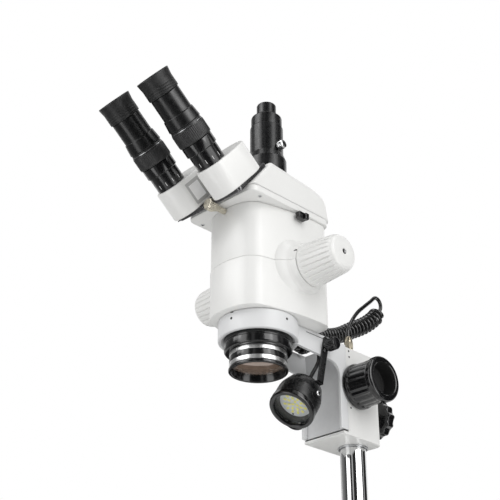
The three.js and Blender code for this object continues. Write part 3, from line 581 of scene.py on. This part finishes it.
WALL = [(28, 34.6), (60, 33, 10), (104, 31.5, 20), (102, -8, 20), (102, -45.4, 1), (113.7, -45.4, 1),
        (113.7, 57.8, 1.2), (28, 57.8)]
bm = bmesh.new()
lathe(bm, [(41.4, 35), (44.2, 35), (45, 35.8), (45, 57), (44.2, 57.8), (39, 57.8), (38.4, 57.2), (38.4, 37),
           (41.4, 35)], 128, soft=0.3)
finish(bm, "head_arm_casting", [pale, shade_and_print_black, steel], HERE, "carriage", "head_arm", 30)
bm = bmesh.new()
for x in (-30.6, 26.6):
    prism(bm, outline(WALL), x, x + 4, 0.5, SIDE)
cube(bm, (-26.5, 107, -45.4), (26.5, 113.7, 57.8), 0.4)
walls = finish(bm, "head_arm_walls", [pale, shade_and_print_black, steel], HERE, "carriage", (), 30)
carve(walls, [cutter(lambda b: rod(b, 38.4, 20, 70, 128), HERE)])
bm = bmesh.new()
# Painted shade in the mouths of the ring's set screw holes.
for angle in (-86, -1, 135):
    a = rad(angle)
    m = Matrix.Translation((45 * math.cos(a), 45 * math.sin(a), 50)) @ Matrix.Rotation(a, 4, "Z") @ ALONG_X
    socket(bm, 1.5, m)
# Painted shadow: thin near-black strips for the shadow line near the top of the arm walls, under the head.
for x in (-30.7, 30.3):
    cube(bm, (x, 46, 53.4), (x + 0.4, 100, 54.1), 0)
# Painted shade: a near-black patch for the shade in a notch at the top of the ring.
cube(bm, (2, -45.1, 56.2), (6, -43, 57.2), 0)
finish(bm, "ring_screw_holes_and_gaps_painted_shade", shade_and_print_black, HERE, "carriage", ())

# ---- zoom body ----
PLAN = [(-20, -50.5), (0, -53), (20, -50.5), (31, -45.5), (38, -37), (42, -25), (46.5, -5), (51, 20),
        (52, 40), (52, 54)]


def body_plan(scale=1):
    side = [Vector((p.x, p.y)) for p in smooth_path([(x, y, 0) for x, y in PLAN], 8)[8:]]
    quarter = [math.pi / 2 * i / 8 for i in range(1, 9)]
    side += [Vector((38 + 14 * math.cos(a), 54 + 14 * math.sin(a))) for a in quarter]
    whole = side + [Vector((-p.x, p.y)) for p in side[1:]][::-1]
    return [Vector((p.x * scale, 8 + (p.y - 8) * scale)) for p in whole]


BOSS = at(0, ZOOM_Y, ZOOM_Z) @ ALONG_X
# The zoom boss is cut at the seam: waste is the floor of the slab taken off.
for name, low, high, scale, waste in (("lower", 58.3, 117, 1, 117), ("upper", 117.3, 186, 0.99, 117.3 - 80)):
    bm = prism(bmesh.new(), body_plan(scale), low, high, 0.9)
    finish(bm, f"head_{name}_casting", white, HERE, "head", f"head_{name}_body", 32)
    bm = bmesh.new()
    for sign in (1, -1):
        flare = [(0, 42), (40, 42), (39.4, 44.4), (36.5, 47.6), (33.2, 50), (30.2, 52.2), (27.9, 54.8),
                 (26.6, 58), (26.1, 61), (25.5, 61.8), (0, 61.8)]
        lathe(bm, flare, 96, matrix=Matrix.Scale(sign, 4, (0, 0, 1)), soft=0.4)
    boss = finish(bm, f"zoom_boss_{name}", white, BOSS, "head", (), 40)
    carve(boss, [cutter(lambda b: cube(b, (-90, -80, waste), (90, 90, waste + 80), 0), HERE)])
# Painted shade: a near-black sheet set into the seam between the castings, for the shade in the gap.
bm = prism(bmesh.new(), body_plan(0.975), 116.9, 117.4, 0)
finish(bm, "body_seam_painted_shade", shade_and_print_black, HERE, "head", ())
# Painted shade: a thin near-black block by the zoom boss, for the shade of a notch there.
bm = bmesh.new()
m = Matrix.Translation((0, ZOOM_Y, ZOOM_Z)) @ Matrix.Rotation(rad(154), 4, "X")
cube(bm, (55.5, 25, -0.9), (61.7, 26.6, 0.9), 0.2, m)
finish(bm, "body_side_slit_painted_shade", shade_and_print_black, HERE, "head", ())

RIBS = 24


def rib(a):
    """Narrow grooves between broad flats."""
    c = math.cos(RIBS * a)
    return -max(0.0, (c - 0.3) / 0.7)


for side, sign in SIDES:
    bm = bmesh.new()
    knob = [(24.6, 62.3), (25.6, 63), (25.6, 65.4), (25.5, 66, 0.3), (25.4, 67.4, 1.5), (22.5, 102.4, 1.5),
            (22, 104.4, 1.2), (21.2, 106.8, 0.45),
            (19.9, 109.2), (17.4, 111), (13, 111.6), (3.6, 111.6), (3.2, 111.2), (3.2, 109.4), (0, 109.4)]
    lathe(bm, knob, RIBS * 10, rib, soft=0.35)
    lathe(bm, [(3.1, 110.6), (2.6, 110.9), (1.6, 110.2), (0, 110)], 24, mat=1, soft=0.2)
    lathe(bm, [(24, 62.3), (5, 62.3), (5, 64)], 48, soft=0)
    place = at(0, ZOOM_Y, ZOOM_Z) @ (MIRROR_X if sign < 0 else Matrix()) @ ALONG_X
    finish(bm, f"zoom_knob_{side}_ribbed", [ivory, plate_grey], place, "zoom", f"zoom_knob_{side}",
           38)

# ---- flange, cover, photo tube ----
bm = prism(bmesh.new(), outline([(-54, -63, 12), (54, -63, 12), (54, 67, 12), (-54, 67, 12)]), 186.3, 194, 1)
for x, y in ((-47, -44), (47, -44), (-46, 52), (46, 52)):
    m = Matrix.Translation((x, y, 186.3)) @ Matrix.Rotation(math.pi, 4, "X")
    screw_head(bm, 2.2, 0.8, m, 1, 2)
finish(bm, "head_flange_cast", [white, steel, shade_and_print_black], HERE, "head", "head_flange")
# Painted shade: a near-black sheet set into the seam between flange and cover, for the shade in the gap.
bm = prism(bmesh.new(), outline([(-52.6, -61, 10), (52.6, -61, 10), (52.6, 66, 10), (-52.6, 66, 10)]),
           193.8, 194.6, 0)
finish(bm, "cover_seam_painted_shade", shade_and_print_black, HERE, "head", ())

COVER_S = FACE_S - 38 - 0.3 - 3.2 - 0.3


def cover_front(z):
    return (z * SIN - COVER_S) / COS


cover = outline([(cover_front(194.3), 194.3, 0), (69, 194.3, 0), (63, 223.5, 10), (44, 230.2, 8),
                 (cover_front(236.6), 236.6, 2.5)])
bm = prism(bmesh.new(), cover, -52, 52, 4.6, SIDE, segments=6)
finish(bm, "head_cover_cast", white, HERE, "head", "head_cover", 30)
bm = prism(bmesh.new(), outline([(-50, -30, 5), (-9, -30, 1), (-9, -17, 1), (9, -17, 1), (9, -30, 1),
                                 (50, -30, 5), (50, 36, 6), (-50, 36, 6)]), -3.3, 1.5, 0.3)
cube(bm, (-54, -29, -2.4), (-49, 4, -1.4), 0.1)
finish(bm, "swivel_plate_milled", plate_grey, on_slope(FACE_S - 38.3, EYE_U + 25), "head", "swivel_plate")

PHOTO = at(0, 16, 0)
bm = bmesh.new()
lathe(bm, [(14.4, 225), (23.9, 225), (23.9, 276.6), (20.4, 285.6), (20.2, 286.6), (20.2, 324.4),
           (19.8, 325), (14.4, 325), (14.4, 300)], soft=0.4)
finish(bm, "photo_tube_turned", satin, PHOTO, "head", "photo_tube", 28)
bm = lathe(bmesh.new(), [(14, 300), (14, 325.3), (18.6, 325.3), (18.9, 326), (18.9, 339.4), (18.5, 340.2),
                         (12.6, 344.6), (12, 345.4), (12, 358.8), (11, 360.2), (0, 360.2)], soft=0.4)
finish(bm, "camera_adapter_turned", satin, PHOTO, "photo_adapter", "camera_adapter", 28)
bm = bmesh.new()
knurl = [(0, 15.2), (2, 15.2), (2, 21.5), (5.2, 21.6), (5.2, 22.2, 0.2), (5.2, 28, 0.2), (4.7, 29.1),
         (3.2, 29.5), (0, 29.5)]
lathe(bm, knurl, 120, lambda a: math.cos(30 * a), soft=0.25)
finish(bm, "photo_tube_screw_knurled", chrome, at(0, 16, 292) @ ALONG_X, "photo_screw", "photo_tube_screw",
       40)
bm = bmesh.new()
thumb = [(0, -81), (5.4, -81.2), (6.4, -80.6, 0.1), (6.8, -79.6, 0.3), (6.8, -73, 0.3), (6.4, -71.6, 0.1),
         (4.4, -66.6), (3.4, -64), (3.4, -54), (0, -54)]
lathe(bm, thumb, 120, lambda a: math.cos(20 * a), soft=0.3)
finish(bm, "head_thumb_screw_knurled", brass, at(0, 0, 181) @ ALONG_Y, "head_screw", "head_thumb_screw",
       40)
bm = bmesh.new()
prism(bm, outline([(-9, -3, 1.5), (3, -4.6, 1.5), (5, 1, 1.5), (3, 5, 1.5), (-9, 5, 1.5)], 4), 52.2, 59, 1,
      SIDE)
prism(bm, outline([(-2, -4.4, 1), (3.6, -4.6, 1), (4, 3.6, 1), (-2, 3.6, 1)], 4), 58, 62.5, 1, SIDE)
finish(bm, "light_path_lever_knob", gloss, at(0, 17, 179.5), "light_lever", "light_path_lever")

# ---- prism boxes and eyepieces ----
def box_outline():
    low_r, up_r, pivot = 20.5, 27, 25
    tilt = math.asin((up_r - low_r) / pivot)
    points = []
    for r, cy, a0, a1 in ((up_r, pivot, -tilt, math.pi + tilt), (low_r, 0, math.pi + tilt, TAU - tilt)):
        for i in range(33):
            a = a0 + (a1 - a0) * i / 32
            points.append(Vector((r * math.cos(a), cy + r * math.sin(a))))
    return points


def dioptre_wave(a):
    return math.cos(60 * a)


for side, sign in SIDES:
    eye = on_slope(FACE_S, EYE_U, 33 * sign)
    body = f"box_{side}"
    bm = prism(bmesh.new(), box_outline(), -36.2, 0, 1.5, segments=5)
    finish(bm, f"prism_box_{side}_cast", white, eye, body, f"prism_box_{side}", 30)
    bm = bmesh.new()
    tube = [(12, 0.3), (17.2, 0.3), (17.2, 18.4), (17.6, 18.8), (18.9, 19.2), (18.9, 30.6), (18.4, 31),
            (15, 31), (15, 44), (12, 44)]
    lathe(bm, tube, soft=0.3)
    for i in range(12):
        m = Matrix.Rotation(rad(26 + 30 * i), 4, "Z")
        cube(bm, (17.1, -0.25, 4.2), (17.3, 0.25, 8.8), 0, m, 1)
    finish(bm, f"eyepiece_tube_{side}_turned", [anodised, mark], eye, body, f"eyepiece_tube_{side}",
           30)
    bm = bmesh.new()
    dioptre = [(15.5, 31.5), (19.6, 31.5), (20, 32), (20, 33), (20.05, 33.4, 0.18), (20.05, 47.4, 0.18),
               (20, 47.8), (19.6, 49.4)]
    lathe(bm, dioptre, 480, dioptre_wave, soft=0.15)
    lathe(bm, [(19.6, 49.4), (19.4, 49.75)], 96, mat=1, soft=0)
    lathe(bm, [(19.4, 49.75), (18.9, 52), (18.4, 52), (18.4, 45), (15.5, 45), (15.5, 31.5)], 96, soft=0.2)
    finish(bm, f"dioptre_ring_{side}_knurled", [charcoal, steel], eye, f"dioptre_{side}",
           f"dioptre_ring_{side}", 32)
    bm = bmesh.new()
    ocular = [(0, 25), (9.5, 22), (11.5, 22.4), (11.5, 48), (17.5, 48), (17.5, 52.3), (19.7, 52.3),
              (20, 52.8), (18.6, 65.4), (18.2, 66),
              (17.5, 66.2), (17.5, 91), (17.2, 92), (15.4, 92), (15.4, 99), (13.4, 99), (12.4, 97.4)]
    lathe(bm, ocular, soft=0.3)
    lathe(bm, [(12.4, 97.4), (8, 98.2), (0, 98.6)], mat=1, soft=0.2)
    finish(bm, f"eyepiece_{side}_turned", [satin, eyeglass], eye, f"ocular_{side}", f"eyepiece_{side}",
           30)
    bm = bmesh.new()
    cup = [(15.8, 92.3), (18.3, 92.3), (18.7, 92.8), (18.7, 106), (18.9, 107.4), (19.9, 114), (20, 115.2),
           (19.6, 115.6), (19, 115.4),
           (16.8, 109), (15.9, 106), (15.8, 92.3)]
    lathe(bm, cup, soft=0.4)
    for z in (95.4, 98.4, 101.4):
        lathe(bm, [(18.72, z - 0.5), (18.95, z), (18.72, z + 0.5)], soft=0)
    finish(bm, f"eyecup_{side}_moulded", rubber, eye, f"ocular_{side}", f"eyecup_{side}", 30)

# A blank tag on the inner side of the left prism box.
tilt = math.asin(6.5 / 25)
bm = bmesh.new()
m = Matrix.Translation((20.5 * math.cos(tilt), -20.5 * math.sin(tilt), 0)) @ Matrix.Rotation(-tilt, 4, "Z")
cube(bm, (-0.2, 0.5, -33), (0.2, 22, -6), 0.06, m, 0)
cube(bm, (0.15, 3.5, -29), (0.25, 19, -10), 0, m, 1)
finish(bm, "prism_box_blank_tag", [tag, board], on_slope(FACE_S, EYE_U, -33), "box_left", ())

# ---- focusing block ----
bm = prism(bmesh.new(), outline([(-30, 114.3, 0), (30, 114.3, 0), (30, 175.4, 12), (-30, 175.4, 12)]),
           -50.6, 56, 0.8)
cube(bm, (-30, 106, -50.6), (30, 122, -47.3), 0.5)
# Painted shadow: a near-black slab for the shadow in the gap between the slide and the toe plate.
cube(bm, (-29.8, 106.4, -47.5), (29.8, 113, -46.5), 0, mat=1)
block = finish(bm, "focus_block_cast", [white, shade_and_print_black], HERE, "focus_block", "focus_body", 30)
groove = [(-14.4, 113.6), (14.4, 113.6), (18.4, 121.4), (7, 121.4), (7, 127), (-7, 127), (-7, 121.4),
          (-18.4, 121.4)]
cuts = [
    cutter(lambda b: prism(b, [Vector(p) for p in groove], -47.2, 60, 0), HERE),
    cutter(lambda b: rod(b, 17.5, -60, 60), at(0, POLE_Y, 0)),
    cutter(lambda b: rod(b, 5.4, -40, 40, 48), at(0, PINION_Y, PINION_Z) @ ALONG_X),
]
carve(block, cuts, own=True)
# Painted shade in the mouths of the gib screw holes.
bm = bmesh.new()
for x in (30, -30):
    for y, z in ((119.7, 51.9), (120.1, 44.7), (119.6, -17.7)):
        m = Matrix.Translation((x, y, z)) @ (MIRROR_X if x < 0 else Matrix()) @ ALONG_X
        socket(bm, 1.2, m)
finish(bm, "gib_screw_holes_painted_shade", shade_and_print_black, HERE, "focus_block", ())
bm = bmesh.new()
ring_profile = [(15.35, -52.6), (16.9, -52.6), (17.2, -52.2), (17.2, 53.6), (16.9, 54), (15.35, 54),
                (15.35, -52.6)]
lathe(bm, ring_profile, soft=0.2)
finish(bm, "pole_sleeve_turned", aluminium, at(0, POLE_Y, 0), "sleeve", "pole_sleeve")

FLUTES = 20


def flute(a):
    return -(0.5 + 0.5 * math.cos(FLUTES * a)) ** 1.3


for side, sign in SIDES:
    bm = bmesh.new()
    knob = [(5.4, 31.2), (25.6, 31.2), (27, 32.2), (27, 36), (26.2, 37.4), (25.6, 38, 0.2), (25.4, 38.8, 0.9),
            (25.4, 62.6, 0.9), (25.6, 63.6, 0.2), (26.3, 64.6), (26.7, 65.4), (26.7, 69.6), (25.9, 71.4),
            (24.4, 72.3),
            (20.8, 72.5), (19.8, 71.9)]
    lathe(bm, knob, FLUTES * 14, flute, soft=0.6)
    # The bore is painted matt near-black for the shade inside it.
    lathe(bm, [(19.8, 71.9), (19.4, 70.8), (19, 66), (18.6, 56), (17.4, 54.6), (0, 54.2)], FLUTES * 14,
          mat=1, soft=0.6)
    place = at(0, PINION_Y, PINION_Z) @ (MIRROR_X if sign < 0 else Matrix()) @ ALONG_X
    finish(bm, f"focus_knob_{side}_fluted", [gloss, shade_and_print_black], place, "focus_drive", f"focus_knob_{side}",
           36)


def lobe(a):
    return math.cos(12 * a) + 0.18 * math.cos(24 * a)


bm = bmesh.new()
lathe(bm, [(0, 173.6), (4, 173.6), (4, 178.4), (8, 178.6), (8, 197)], 48, soft=0.3)
clamp = [(8, 197), (18.5, 197, 0.3), (21, 197.6, 0.8), (22.3, 199, 1.2), (22.3, 207, 1.2),
         (21.4, 209.6, 0.9), (19, 211, 0.4), (12, 211.3), (10, 210.5), (0, 210.3)]
lathe(bm, clamp, 240, lobe, soft=0.8)
finish(bm, "pole_clamp_knob_lobed", gloss, at(0, 0, -4.5) @ ALONG_Y, "clamp", "pole_clamp_knob",
       36)

# ---- pole and gland ----
GROUND = Matrix()
AT_POLE = Matrix.Translation((0, POLE_Y, 0))


def hexagon(r, turn=0):
    return [Vector((r * math.cos(TAU * i / 6 + turn), r * math.sin(TAU * i / 6 + turn))) for i in range(6)]


bm = lathe(bmesh.new(), [(12, 14), (15, 14), (15, 340.2), (14.2, 341), (5.4, 341), (5.4, 332), (12, 332),
                         (12, 14)], 96, matrix=AT_POLE, soft=0.3)
finish(bm, "pole_polished", chrome, GROUND, "stand", "pole", 30)
bm = bmesh.new()
lathe(bm, [(0, -7), (5, -7), (5, 0)], 48, soft=0)
prism(bm, hexagon(6.1), 0, 6.4, 0.35)
lathe(bm, [(5.2, 6.4), (5.4, 6.8), (5.4, 7.6), (5.2, 8)], 48, soft=0.1)
prism(bm, hexagon(5.9, 0.3), 8, 15.5, 0.35)
lathe(bm, [(5.2, 15.5), (5.2, 17.5), (4.4, 21), (3.4, 23.4), (2.7, 23.7), (0, 23.7)], 48, soft=0.5)
finish(bm, "cable_gland_turned", bronze, at(0, POLE_Y, 66.3), "stand", "cable_gland")

# ---- side lamp ----
bm = bmesh.new()
shell = [(23.7, -7.3), (25.6, -7.3), (26.1, -7.8), (26.1, -24), (25.6, -27.4), (22.7, -36), (18.6, -42.6),
         (16, -44.8), (13, -46), (4, -46), (4, -43), (13, -43), (23, -25), (23.7, -7.3)]
lathe(bm, shell, soft=0.8)
# The three grooves are painted near-black for the shade in them.
for i in range(3):
    z = -31.5 - i * 4.2
    r = 24.35 - i * 1.5
    lathe(bm, [(r, z + 0.5), (r - 0.7, z), (r - 0.3, z - 0.6)], mat=1, soft=0)
for sign in (1, -1):
    m = Matrix.Translation((0, 0, -18.4)) @ (Matrix() if sign > 0 else MIRROR_X) @ ALONG_X
    lathe(bm, [(0, 24), (5, 24), (5, 27), (3, 27.2), (3, 31.7), (0, 31.7)], 40, matrix=m, soft=0.3)
finish(bm, "lamp_housing_turned", [satin, shade_and_print_black], LAMP, "lamp", "lamp_housing", 30)
bm = bmesh.new()
for sign in (1, -1):
    m = Matrix.Translation((0, 0, -18.4)) @ (Matrix() if sign > 0 else MIRROR_X) @ ALONG_X
    screw_head(bm, 2.9, 1.5, m @ Matrix.Translation((0, 0, 31.7)), 0, 1)
finish(bm, "lamp_pivot_screws", [chrome, shade_and_print_black], LAMP, "lamp", ())
bm = bmesh.new()
bezel = [(21.9, -0.6), (22.5, 0), (25.2, 0), (26.4, -0.7), (26.7, -1.8), (26.7, -6.6), (26.3, -7),
         (23.3, -7), (23.3, -4.5), (21.4, -4.2), (21.2, -3.2), (21.9, -0.6)]
lathe(bm, bezel, soft=0.4)
finish(bm, "lamp_bezel_turned", gloss, LAMP, "lamp", "lamp_bezel", 30)
bm = lathe(bmesh.new(), [(0, -6.8), (22.6, -6.8), (22.6, -4.95), (0, -4.9)], soft=0.1)
finish(bm, "lamp_glass_ground", cover_glass, LAMP, "lamp", "lamp_glass", 30)
bm = bmesh.new()
lathe(bm, [(0, -14), (19.6, -14), (19.6, -13.2), (0, -13.2)], mat=0, soft=0.1)
lathe(bm, [(18.6, -13.2), (18, -13.1), (20.9, -7.3), (22.4, -7.3), (22.4, -13.2), (18.6, -13.2)], mat=3,
      soft=0.2)
random.seed(4)
for count, radius in ((3, 3), (8, 7.6), (12, 12.2)):
    for i in range(count):
        a = TAU * i / count + radius
        m = Matrix.Translation((radius * math.cos(a), radius * math.sin(a), -13.2))
        m = m @ Matrix.Rotation(a + random.uniform(-0.1, 0.1), 4, "Z")
        cube(bm, (-2, -1.5, 0), (2, 1.5, 0.7), 0.15, m, 0)
        cube(bm, (-1.75, -1.25, 0.65), (1.75, 1.25, 0.95), 0.05, m, 1)
for a in (0.6, 3.9):
    m = Matrix.Translation((16.2 * math.cos(a), 16.2 * math.sin(a), -13.2))
    screw_head(bm, 1.1, 0.6, m, 2, 2)
finish(bm, "lamp_led_board_populated", [board, phosphor_painted_glow, shade_and_print_black, reflector], LAMP, "lamp", "lamp_led_board",
       30)
bm = bmesh.new()
boot = [(0, -59), (3, -59), (3.2, -58.2)]
for i in range(4):
    z = -57 + i * 3.4
    r = 3.2 + i * 0.2
    boot += [(r, z), (r, z + 1.6), (r - 0.7, z + 2), (r - 0.7, z + 3)]
boot += [(3.7, -43.4), (3.7, -42), (0, -42)]
lathe(bm, boot, 40, soft=0.2)
finish(bm, "lamp_strain_relief_ribbed", rubber, LAMP, "lamp", "lamp_strain_relief", 40)

LEG_Y, LEG_Z = 76, 44
dy = LAMP_Y + 18.4 * math.sin(LAMP_LEAN) - LEG_Y
dz = LAMP_Z + 18.4 * math.cos(LAMP_LEAN) - LEG_Z
reach = math.hypot(dy, dz)
step, up, low = reach - 15, 31.1, 27.9
for side, sign in SIDES:
    bm = bmesh.new()
    prism(bm, outline([(-4.5, -step - 2, 0), (4.5, -step - 2, 0), (4.5, 12, 3.2), (-4.5, 12, 3.2)]), up,
          up + 2, 0.3, SIDE)
    cube(bm, (low, -4.5, -step - 2), (up + 2, 4.5, -step), 0.25)
    prism(bm, outline([(-4.5, -reach - 5, 3.6), (4.5, -reach - 5, 3.6), (4.5, -step, 0), (-4.5, -step, 0)]),
          low, low + 2, 0.3, SIDE)
    place = (MIRROR_X if sign < 0 else Matrix()) @ at(0, LEG_Y, LEG_Z)
    place = place @ Matrix.Rotation(math.atan2(dy, -dz), 4, "X")
    leg = finish(bm, f"lamp_leg_{side}_strip", satin, place, "lamp_legs", f"lamp_leg_{side}")
    slot = outline([(-2.4, -8, 2.2), (2.4, -8, 2.2), (2.4, 8, 2.2), (-2.4, 8, 2.2)])
    at_eye = Matrix.Translation((0, 0, -reach)) @ ALONG_X
    carve(leg, [cutter(lambda b: prism(b, slot, up - 2, up + 4, 0, SIDE), place),
                cutter(lambda b: rod(b, 3.3, low - 2, low + 4, 32, at_eye), place)])
bm = bmesh.new()
lathe(bm, [(0, 30.9), (2, 30.9), (2, 33.4), (4.6, 33.4), (4.6, 36.6), (6.7, 36.9), (7.3, 37.6, 0.3),
           (7.3, 48, 0.3), (6.4, 49.4), (4, 49.9), (0, 49.9)], 144, lambda a: math.cos(24 * a), soft=0.3)
finish(bm, "lamp_leg_knob_knurled", gloss, at(0, LEG_Y, LEG_Z) @ ALONG_X, "leg_knob", "lamp_leg_knob",
       36)

# ---- base ----
def base_outline(inset):
    x, y0, y1, r = 104 - inset, -92 + inset, 208 - inset, 22 - inset
    return outline([(-x, y0, r), (x, y0, r), (x, y1, r), (-x, y1, r)], 12)


AT_DIMMER = Matrix.Translation((58, 0, 32)) @ ALONG_Y
bm = prism(bmesh.new(), base_outline(0), 8.6, 58, 3.4, segments=6)
housing = finish(bm, "base_housing_cast", [white, shade_and_print_black], GROUND, "stand", "base_housing", 30)
cuts = [
    cutter(lambda b: prism(b, base_outline(4), -10, 50, 0), GROUND),
    cutter(lambda b: rod(b, 47.8, 53.7, 70, 128), GROUND),
    cutter(lambda b: rod(b, 40, 40, 60), GROUND),
    cutter(lambda b: rod(b, 15.3, 30, 70, matrix=AT_POLE), GROUND),
    cutter(lambda b: cube(b, (35.7, 198, 21.7), (64.3, 212, 42.3), 0), GROUND),
    cutter(lambda b: rod(b, 3.4, -96, -80, 32, AT_DIMMER), GROUND),
]
carve(housing, cuts)
bm = prism(bmesh.new(), base_outline(2), 6.3, 8.3, 0.3)
for x in (-90, 0, 90):
    for y in (-74, 58, 190):
        m = Matrix.Translation((x, y, 6.3)) @ Matrix.Rotation(math.pi, 4, "X")
        if (x, y) != (0, 58):
            screw_head(bm, 2.6, 0.9, m, 1, 2)
for i in range(9):
    cube(bm, (-24 + i * 6, 100, 6.2), (-21.6 + i * 6, 130, 6.5), 0.1, mat=2)
finish(bm, "base_bottom_plate_stamped", [aluminium, steel, shade_and_print_black], GROUND, "stand", "base_bottom_plate")
for row, y in (("front", -68), ("rear", 184)):
    for side, sign in SIDES:
        bm = bmesh.new()
        lathe(bm, [(0, 1.4), (4, 1.4), (4.6, 0), (9.4, 0), (10.6, 0.5), (11, 1.6), (10.4, 5.4), (9.8, 6),
                   (0, 6)], 64, soft=0.3)
        finish(bm, f"foot_{row}_{side}_moulded", rubber, Matrix.Translation((82 * sign, y, 0)), "stand",
               f"foot_{row}_{side}", 40)
bm = lathe(bmesh.new(), [(0, 54), (46.9, 54), (47.5, 54.5), (47.5, 58.1), (47, 58.6), (0, 58.6)], 128,
           soft=0.2)
finish(bm, "stage_plate_frosted", frosted, GROUND, "stand", "stage_plate", 30)
bm = bmesh.new()
lathe(bm, [(15.35, 58.3), (26.2, 58.3), (27, 59), (27, 63.6), (25.6, 66), (22.4, 69), (21, 70), (15.9, 70),
           (15.35, 69.4), (15.35, 58.3)], 96, matrix=AT_POLE, soft=0.8)
for i in range(3):
    a = TAU * i / 3 + 0.5
    m = AT_POLE @ Matrix.Rotation(a, 4, "Z") @ Matrix.Translation((24.2, 0, 67))
    m = m @ Matrix.Rotation(rad(45), 4, "Y")
    screw_head(bm, 1.6, 0.7, m @ Matrix.Translation((0, 0, 0.2)), 1, 2)
finish(bm, "pole_flange_turned", [white, steel, shade_and_print_black], GROUND, "stand", "pole_flange", 30)
for side, sign in SIDES:
    bm = bmesh.new()
    lathe(bm, [(0, 0.6), (5.6, 0.6), (6, 1), (6, 1.8)], 48, soft=0.2)
    lathe(bm, [(6, 4), (6, 6.2), (5.2, 7), (2.4, 7), (2, 6), (0, 6)], 96, soft=0.2)
    lathe(bm, [(5.2, 1.8), (5.2, 4)], 48, soft=0)
    blade = [(3.4, 2.3), (-38, 2.3), (-42, 1.5), (-45.2, 3), (-46, 3.6), (-45.8, 4.2), (-42, 2.5),
             (-38, 3.3), (3.4, 3.3)]
    prism(bm, [Vector(p) for p in blade], -3.5, 3.5, 0.15, SIDE, segments=1)
    place = Matrix.Translation((38 * sign, 58, 58)) @ Matrix.Rotation(rad(22) * sign, 4, "Z")
    finish(bm, f"stage_clip_{side}_sprung", steel, place, f"clip_{side}", f"stage_clip_{side}", 30)
bm = bmesh.new()
grip = [(3, -80), (3, -92.4), (8.6, -92.6), (9.5, -93.2, 0.3), (9.5, -103.4, 0.3), (8.6, -105.4), (7, -106),
        (0, -106)]
lathe(bm, grip, 144, lambda a: math.cos(24 * a), soft=0.4)
cube(bm, (-0.5, 2, 0), (0.5, 8, 0.2), 0, Matrix.Translation((0, 0, -106.15)), 1)
finish(bm, "dimmer_knob_knurled", [gloss, mark], AT_DIMMER, "dimmer", "dimmer_knob", 36)
bm = bmesh.new()
for i in range(11):
    a = rad(-135 + 27 * i)
    m = Matrix.Translation((58, -92, 32)) @ Matrix.Rotation(a, 4, "Y")
    cube(bm, (-0.35, -0.12, 12), (0.35, 0.3, 12.6 + i * 0.22), 0, m)
finish(bm, "dimmer_scale", shade_and_print_black, GROUND, "stand", ())
dress("mains_inlet", gloss)
dress("power_board", green)
bm = bmesh.new()
for x, z in ((-3.6, 1.2), (3.6, 1.2), (0, -2.4)):
    cube(bm, (50 + x - 1, 192.6, 32 + z - 0.6), (50 + x + 1, 204, 32 + z + 0.6), 0.1)
finish(bm, "mains_inlet_pins", steel, GROUND, "stand", ())

for node, look in (("focus_slide", aluminium), ("focus_pinion_shaft", steel), ("zoom_shaft", steel)):
    dress(node, look)

# ---- floor and light ----
floor_look = Look("pale_floor", (0.86, 0.86, 0.855), 0.6).vary(8, 0.01).uneven(30, 0.05).grain(500, 0.01)
bm = lathe(bmesh.new(), [(0, -0.2), (400, -0.2), (400, -14), (0, -14)], 128, soft=1)
floor = finish(bm, "table_top", floor_look, Matrix.Translation((0, 58, 0)), None)

world = bpy.data.worlds.new("studio")
bpy.context.scene.world = world
world.use_nodes = True
tree = world.node_tree
background = tree.nodes["Background"]
background.inputs["Color"].default_value = (1, 1, 1, 1)
background.inputs["Strength"].default_value = 0.8
backdrop = tree.nodes.new("ShaderNodeBackground")
backdrop.inputs["Color"].default_value = (1, 1, 1, 1)
backdrop.inputs["Strength"].default_value = 1.0
path = tree.nodes.new("ShaderNodeLightPath")
mix = tree.nodes.new("ShaderNodeMixShader")

# Reflections see a dim room with upright bright panels round it.
direction = tree.nodes.new("ShaderNodeTexCoord").outputs["Generated"]
split = tree.nodes.new("ShaderNodeSeparateXYZ")
tree.links.new(direction, split.inputs["Vector"])
turn = tree.nodes.new("ShaderNodeMath")
turn.operation = "ARCTAN2"
tree.links.new(split.outputs["Y"], turn.inputs[0])
tree.links.new(split.outputs["X"], turn.inputs[1])
spread = tree.nodes.new("ShaderNodeMapRange")
spread.inputs["From Min"].default_value = -math.pi
spread.inputs["From Max"].default_value = math.pi
tree.links.new(turn.outputs["Value"], spread.inputs["Value"])
panels = tree.nodes.new("ShaderNodeValToRGB")
stops = panels.color_ramp.elements
DIM, LIT = 0.02, 2.4
for stop, position in zip(stops, (0, 1)):
    stop.position = position
    stop.color = (0.3, 0.3, 0.3, 1)
for centre, half_width, level in ((-100, 13, LIT), (-62, 4, 0.5), (8, 12, LIT), (40, 3, 0.5),
                                  (100, 16, 1.0), (165, 8, 0.8)):
    for edge, value in ((-1.35, DIM), (-1, level), (1, level), (1.35, DIM)):
        stop = stops.new((centre + edge * half_width + 180) / 360)
        stop.color = (value, value, value, 1)
tree.links.new(spread.outputs["Result"], panels.inputs["Fac"])
room_shader = tree.nodes.new("ShaderNodeBackground")
tree.links.new(panels.outputs["Color"], room_shader.inputs["Color"])
gloss_mix = tree.nodes.new("ShaderNodeMixShader")
tree.links.new(path.outputs["Is Glossy Ray"], gloss_mix.inputs["Fac"])
tree.links.new(background.outputs["Background"], gloss_mix.inputs[1])
tree.links.new(room_shader.outputs["Background"], gloss_mix.inputs[2])
tree.links.new(path.outputs["Is Camera Ray"], mix.inputs["Fac"])
tree.links.new(gloss_mix.outputs["Shader"], mix.inputs[1])
tree.links.new(backdrop.outputs["Background"], mix.inputs[2])
tree.links.new(mix.outputs["Shader"], tree.nodes["World Output"].inputs["Surface"])


def softbox(name, place, target, size, power):
    data = bpy.data.lights.new(name, "AREA")
    data.shape = "RECTANGLE"
    data.size, data.size_y = size
    data.energy = power
    made = bpy.data.objects.new(name, data)
    bpy.context.collection.objects.link(made)
    made.location = place
    made.rotation_euler = (Vector(target) - Vector(place)).to_track_quat("-Z", "Y").to_euler()


softbox("key", (-0.9, -1.5, 1.6), (0, 0, 0.35), (1.1, 1.1), 11)
softbox("fill", (1.6, -0.3, 0.9), (0, 0, 0.35), (0.8, 1.2), 10)
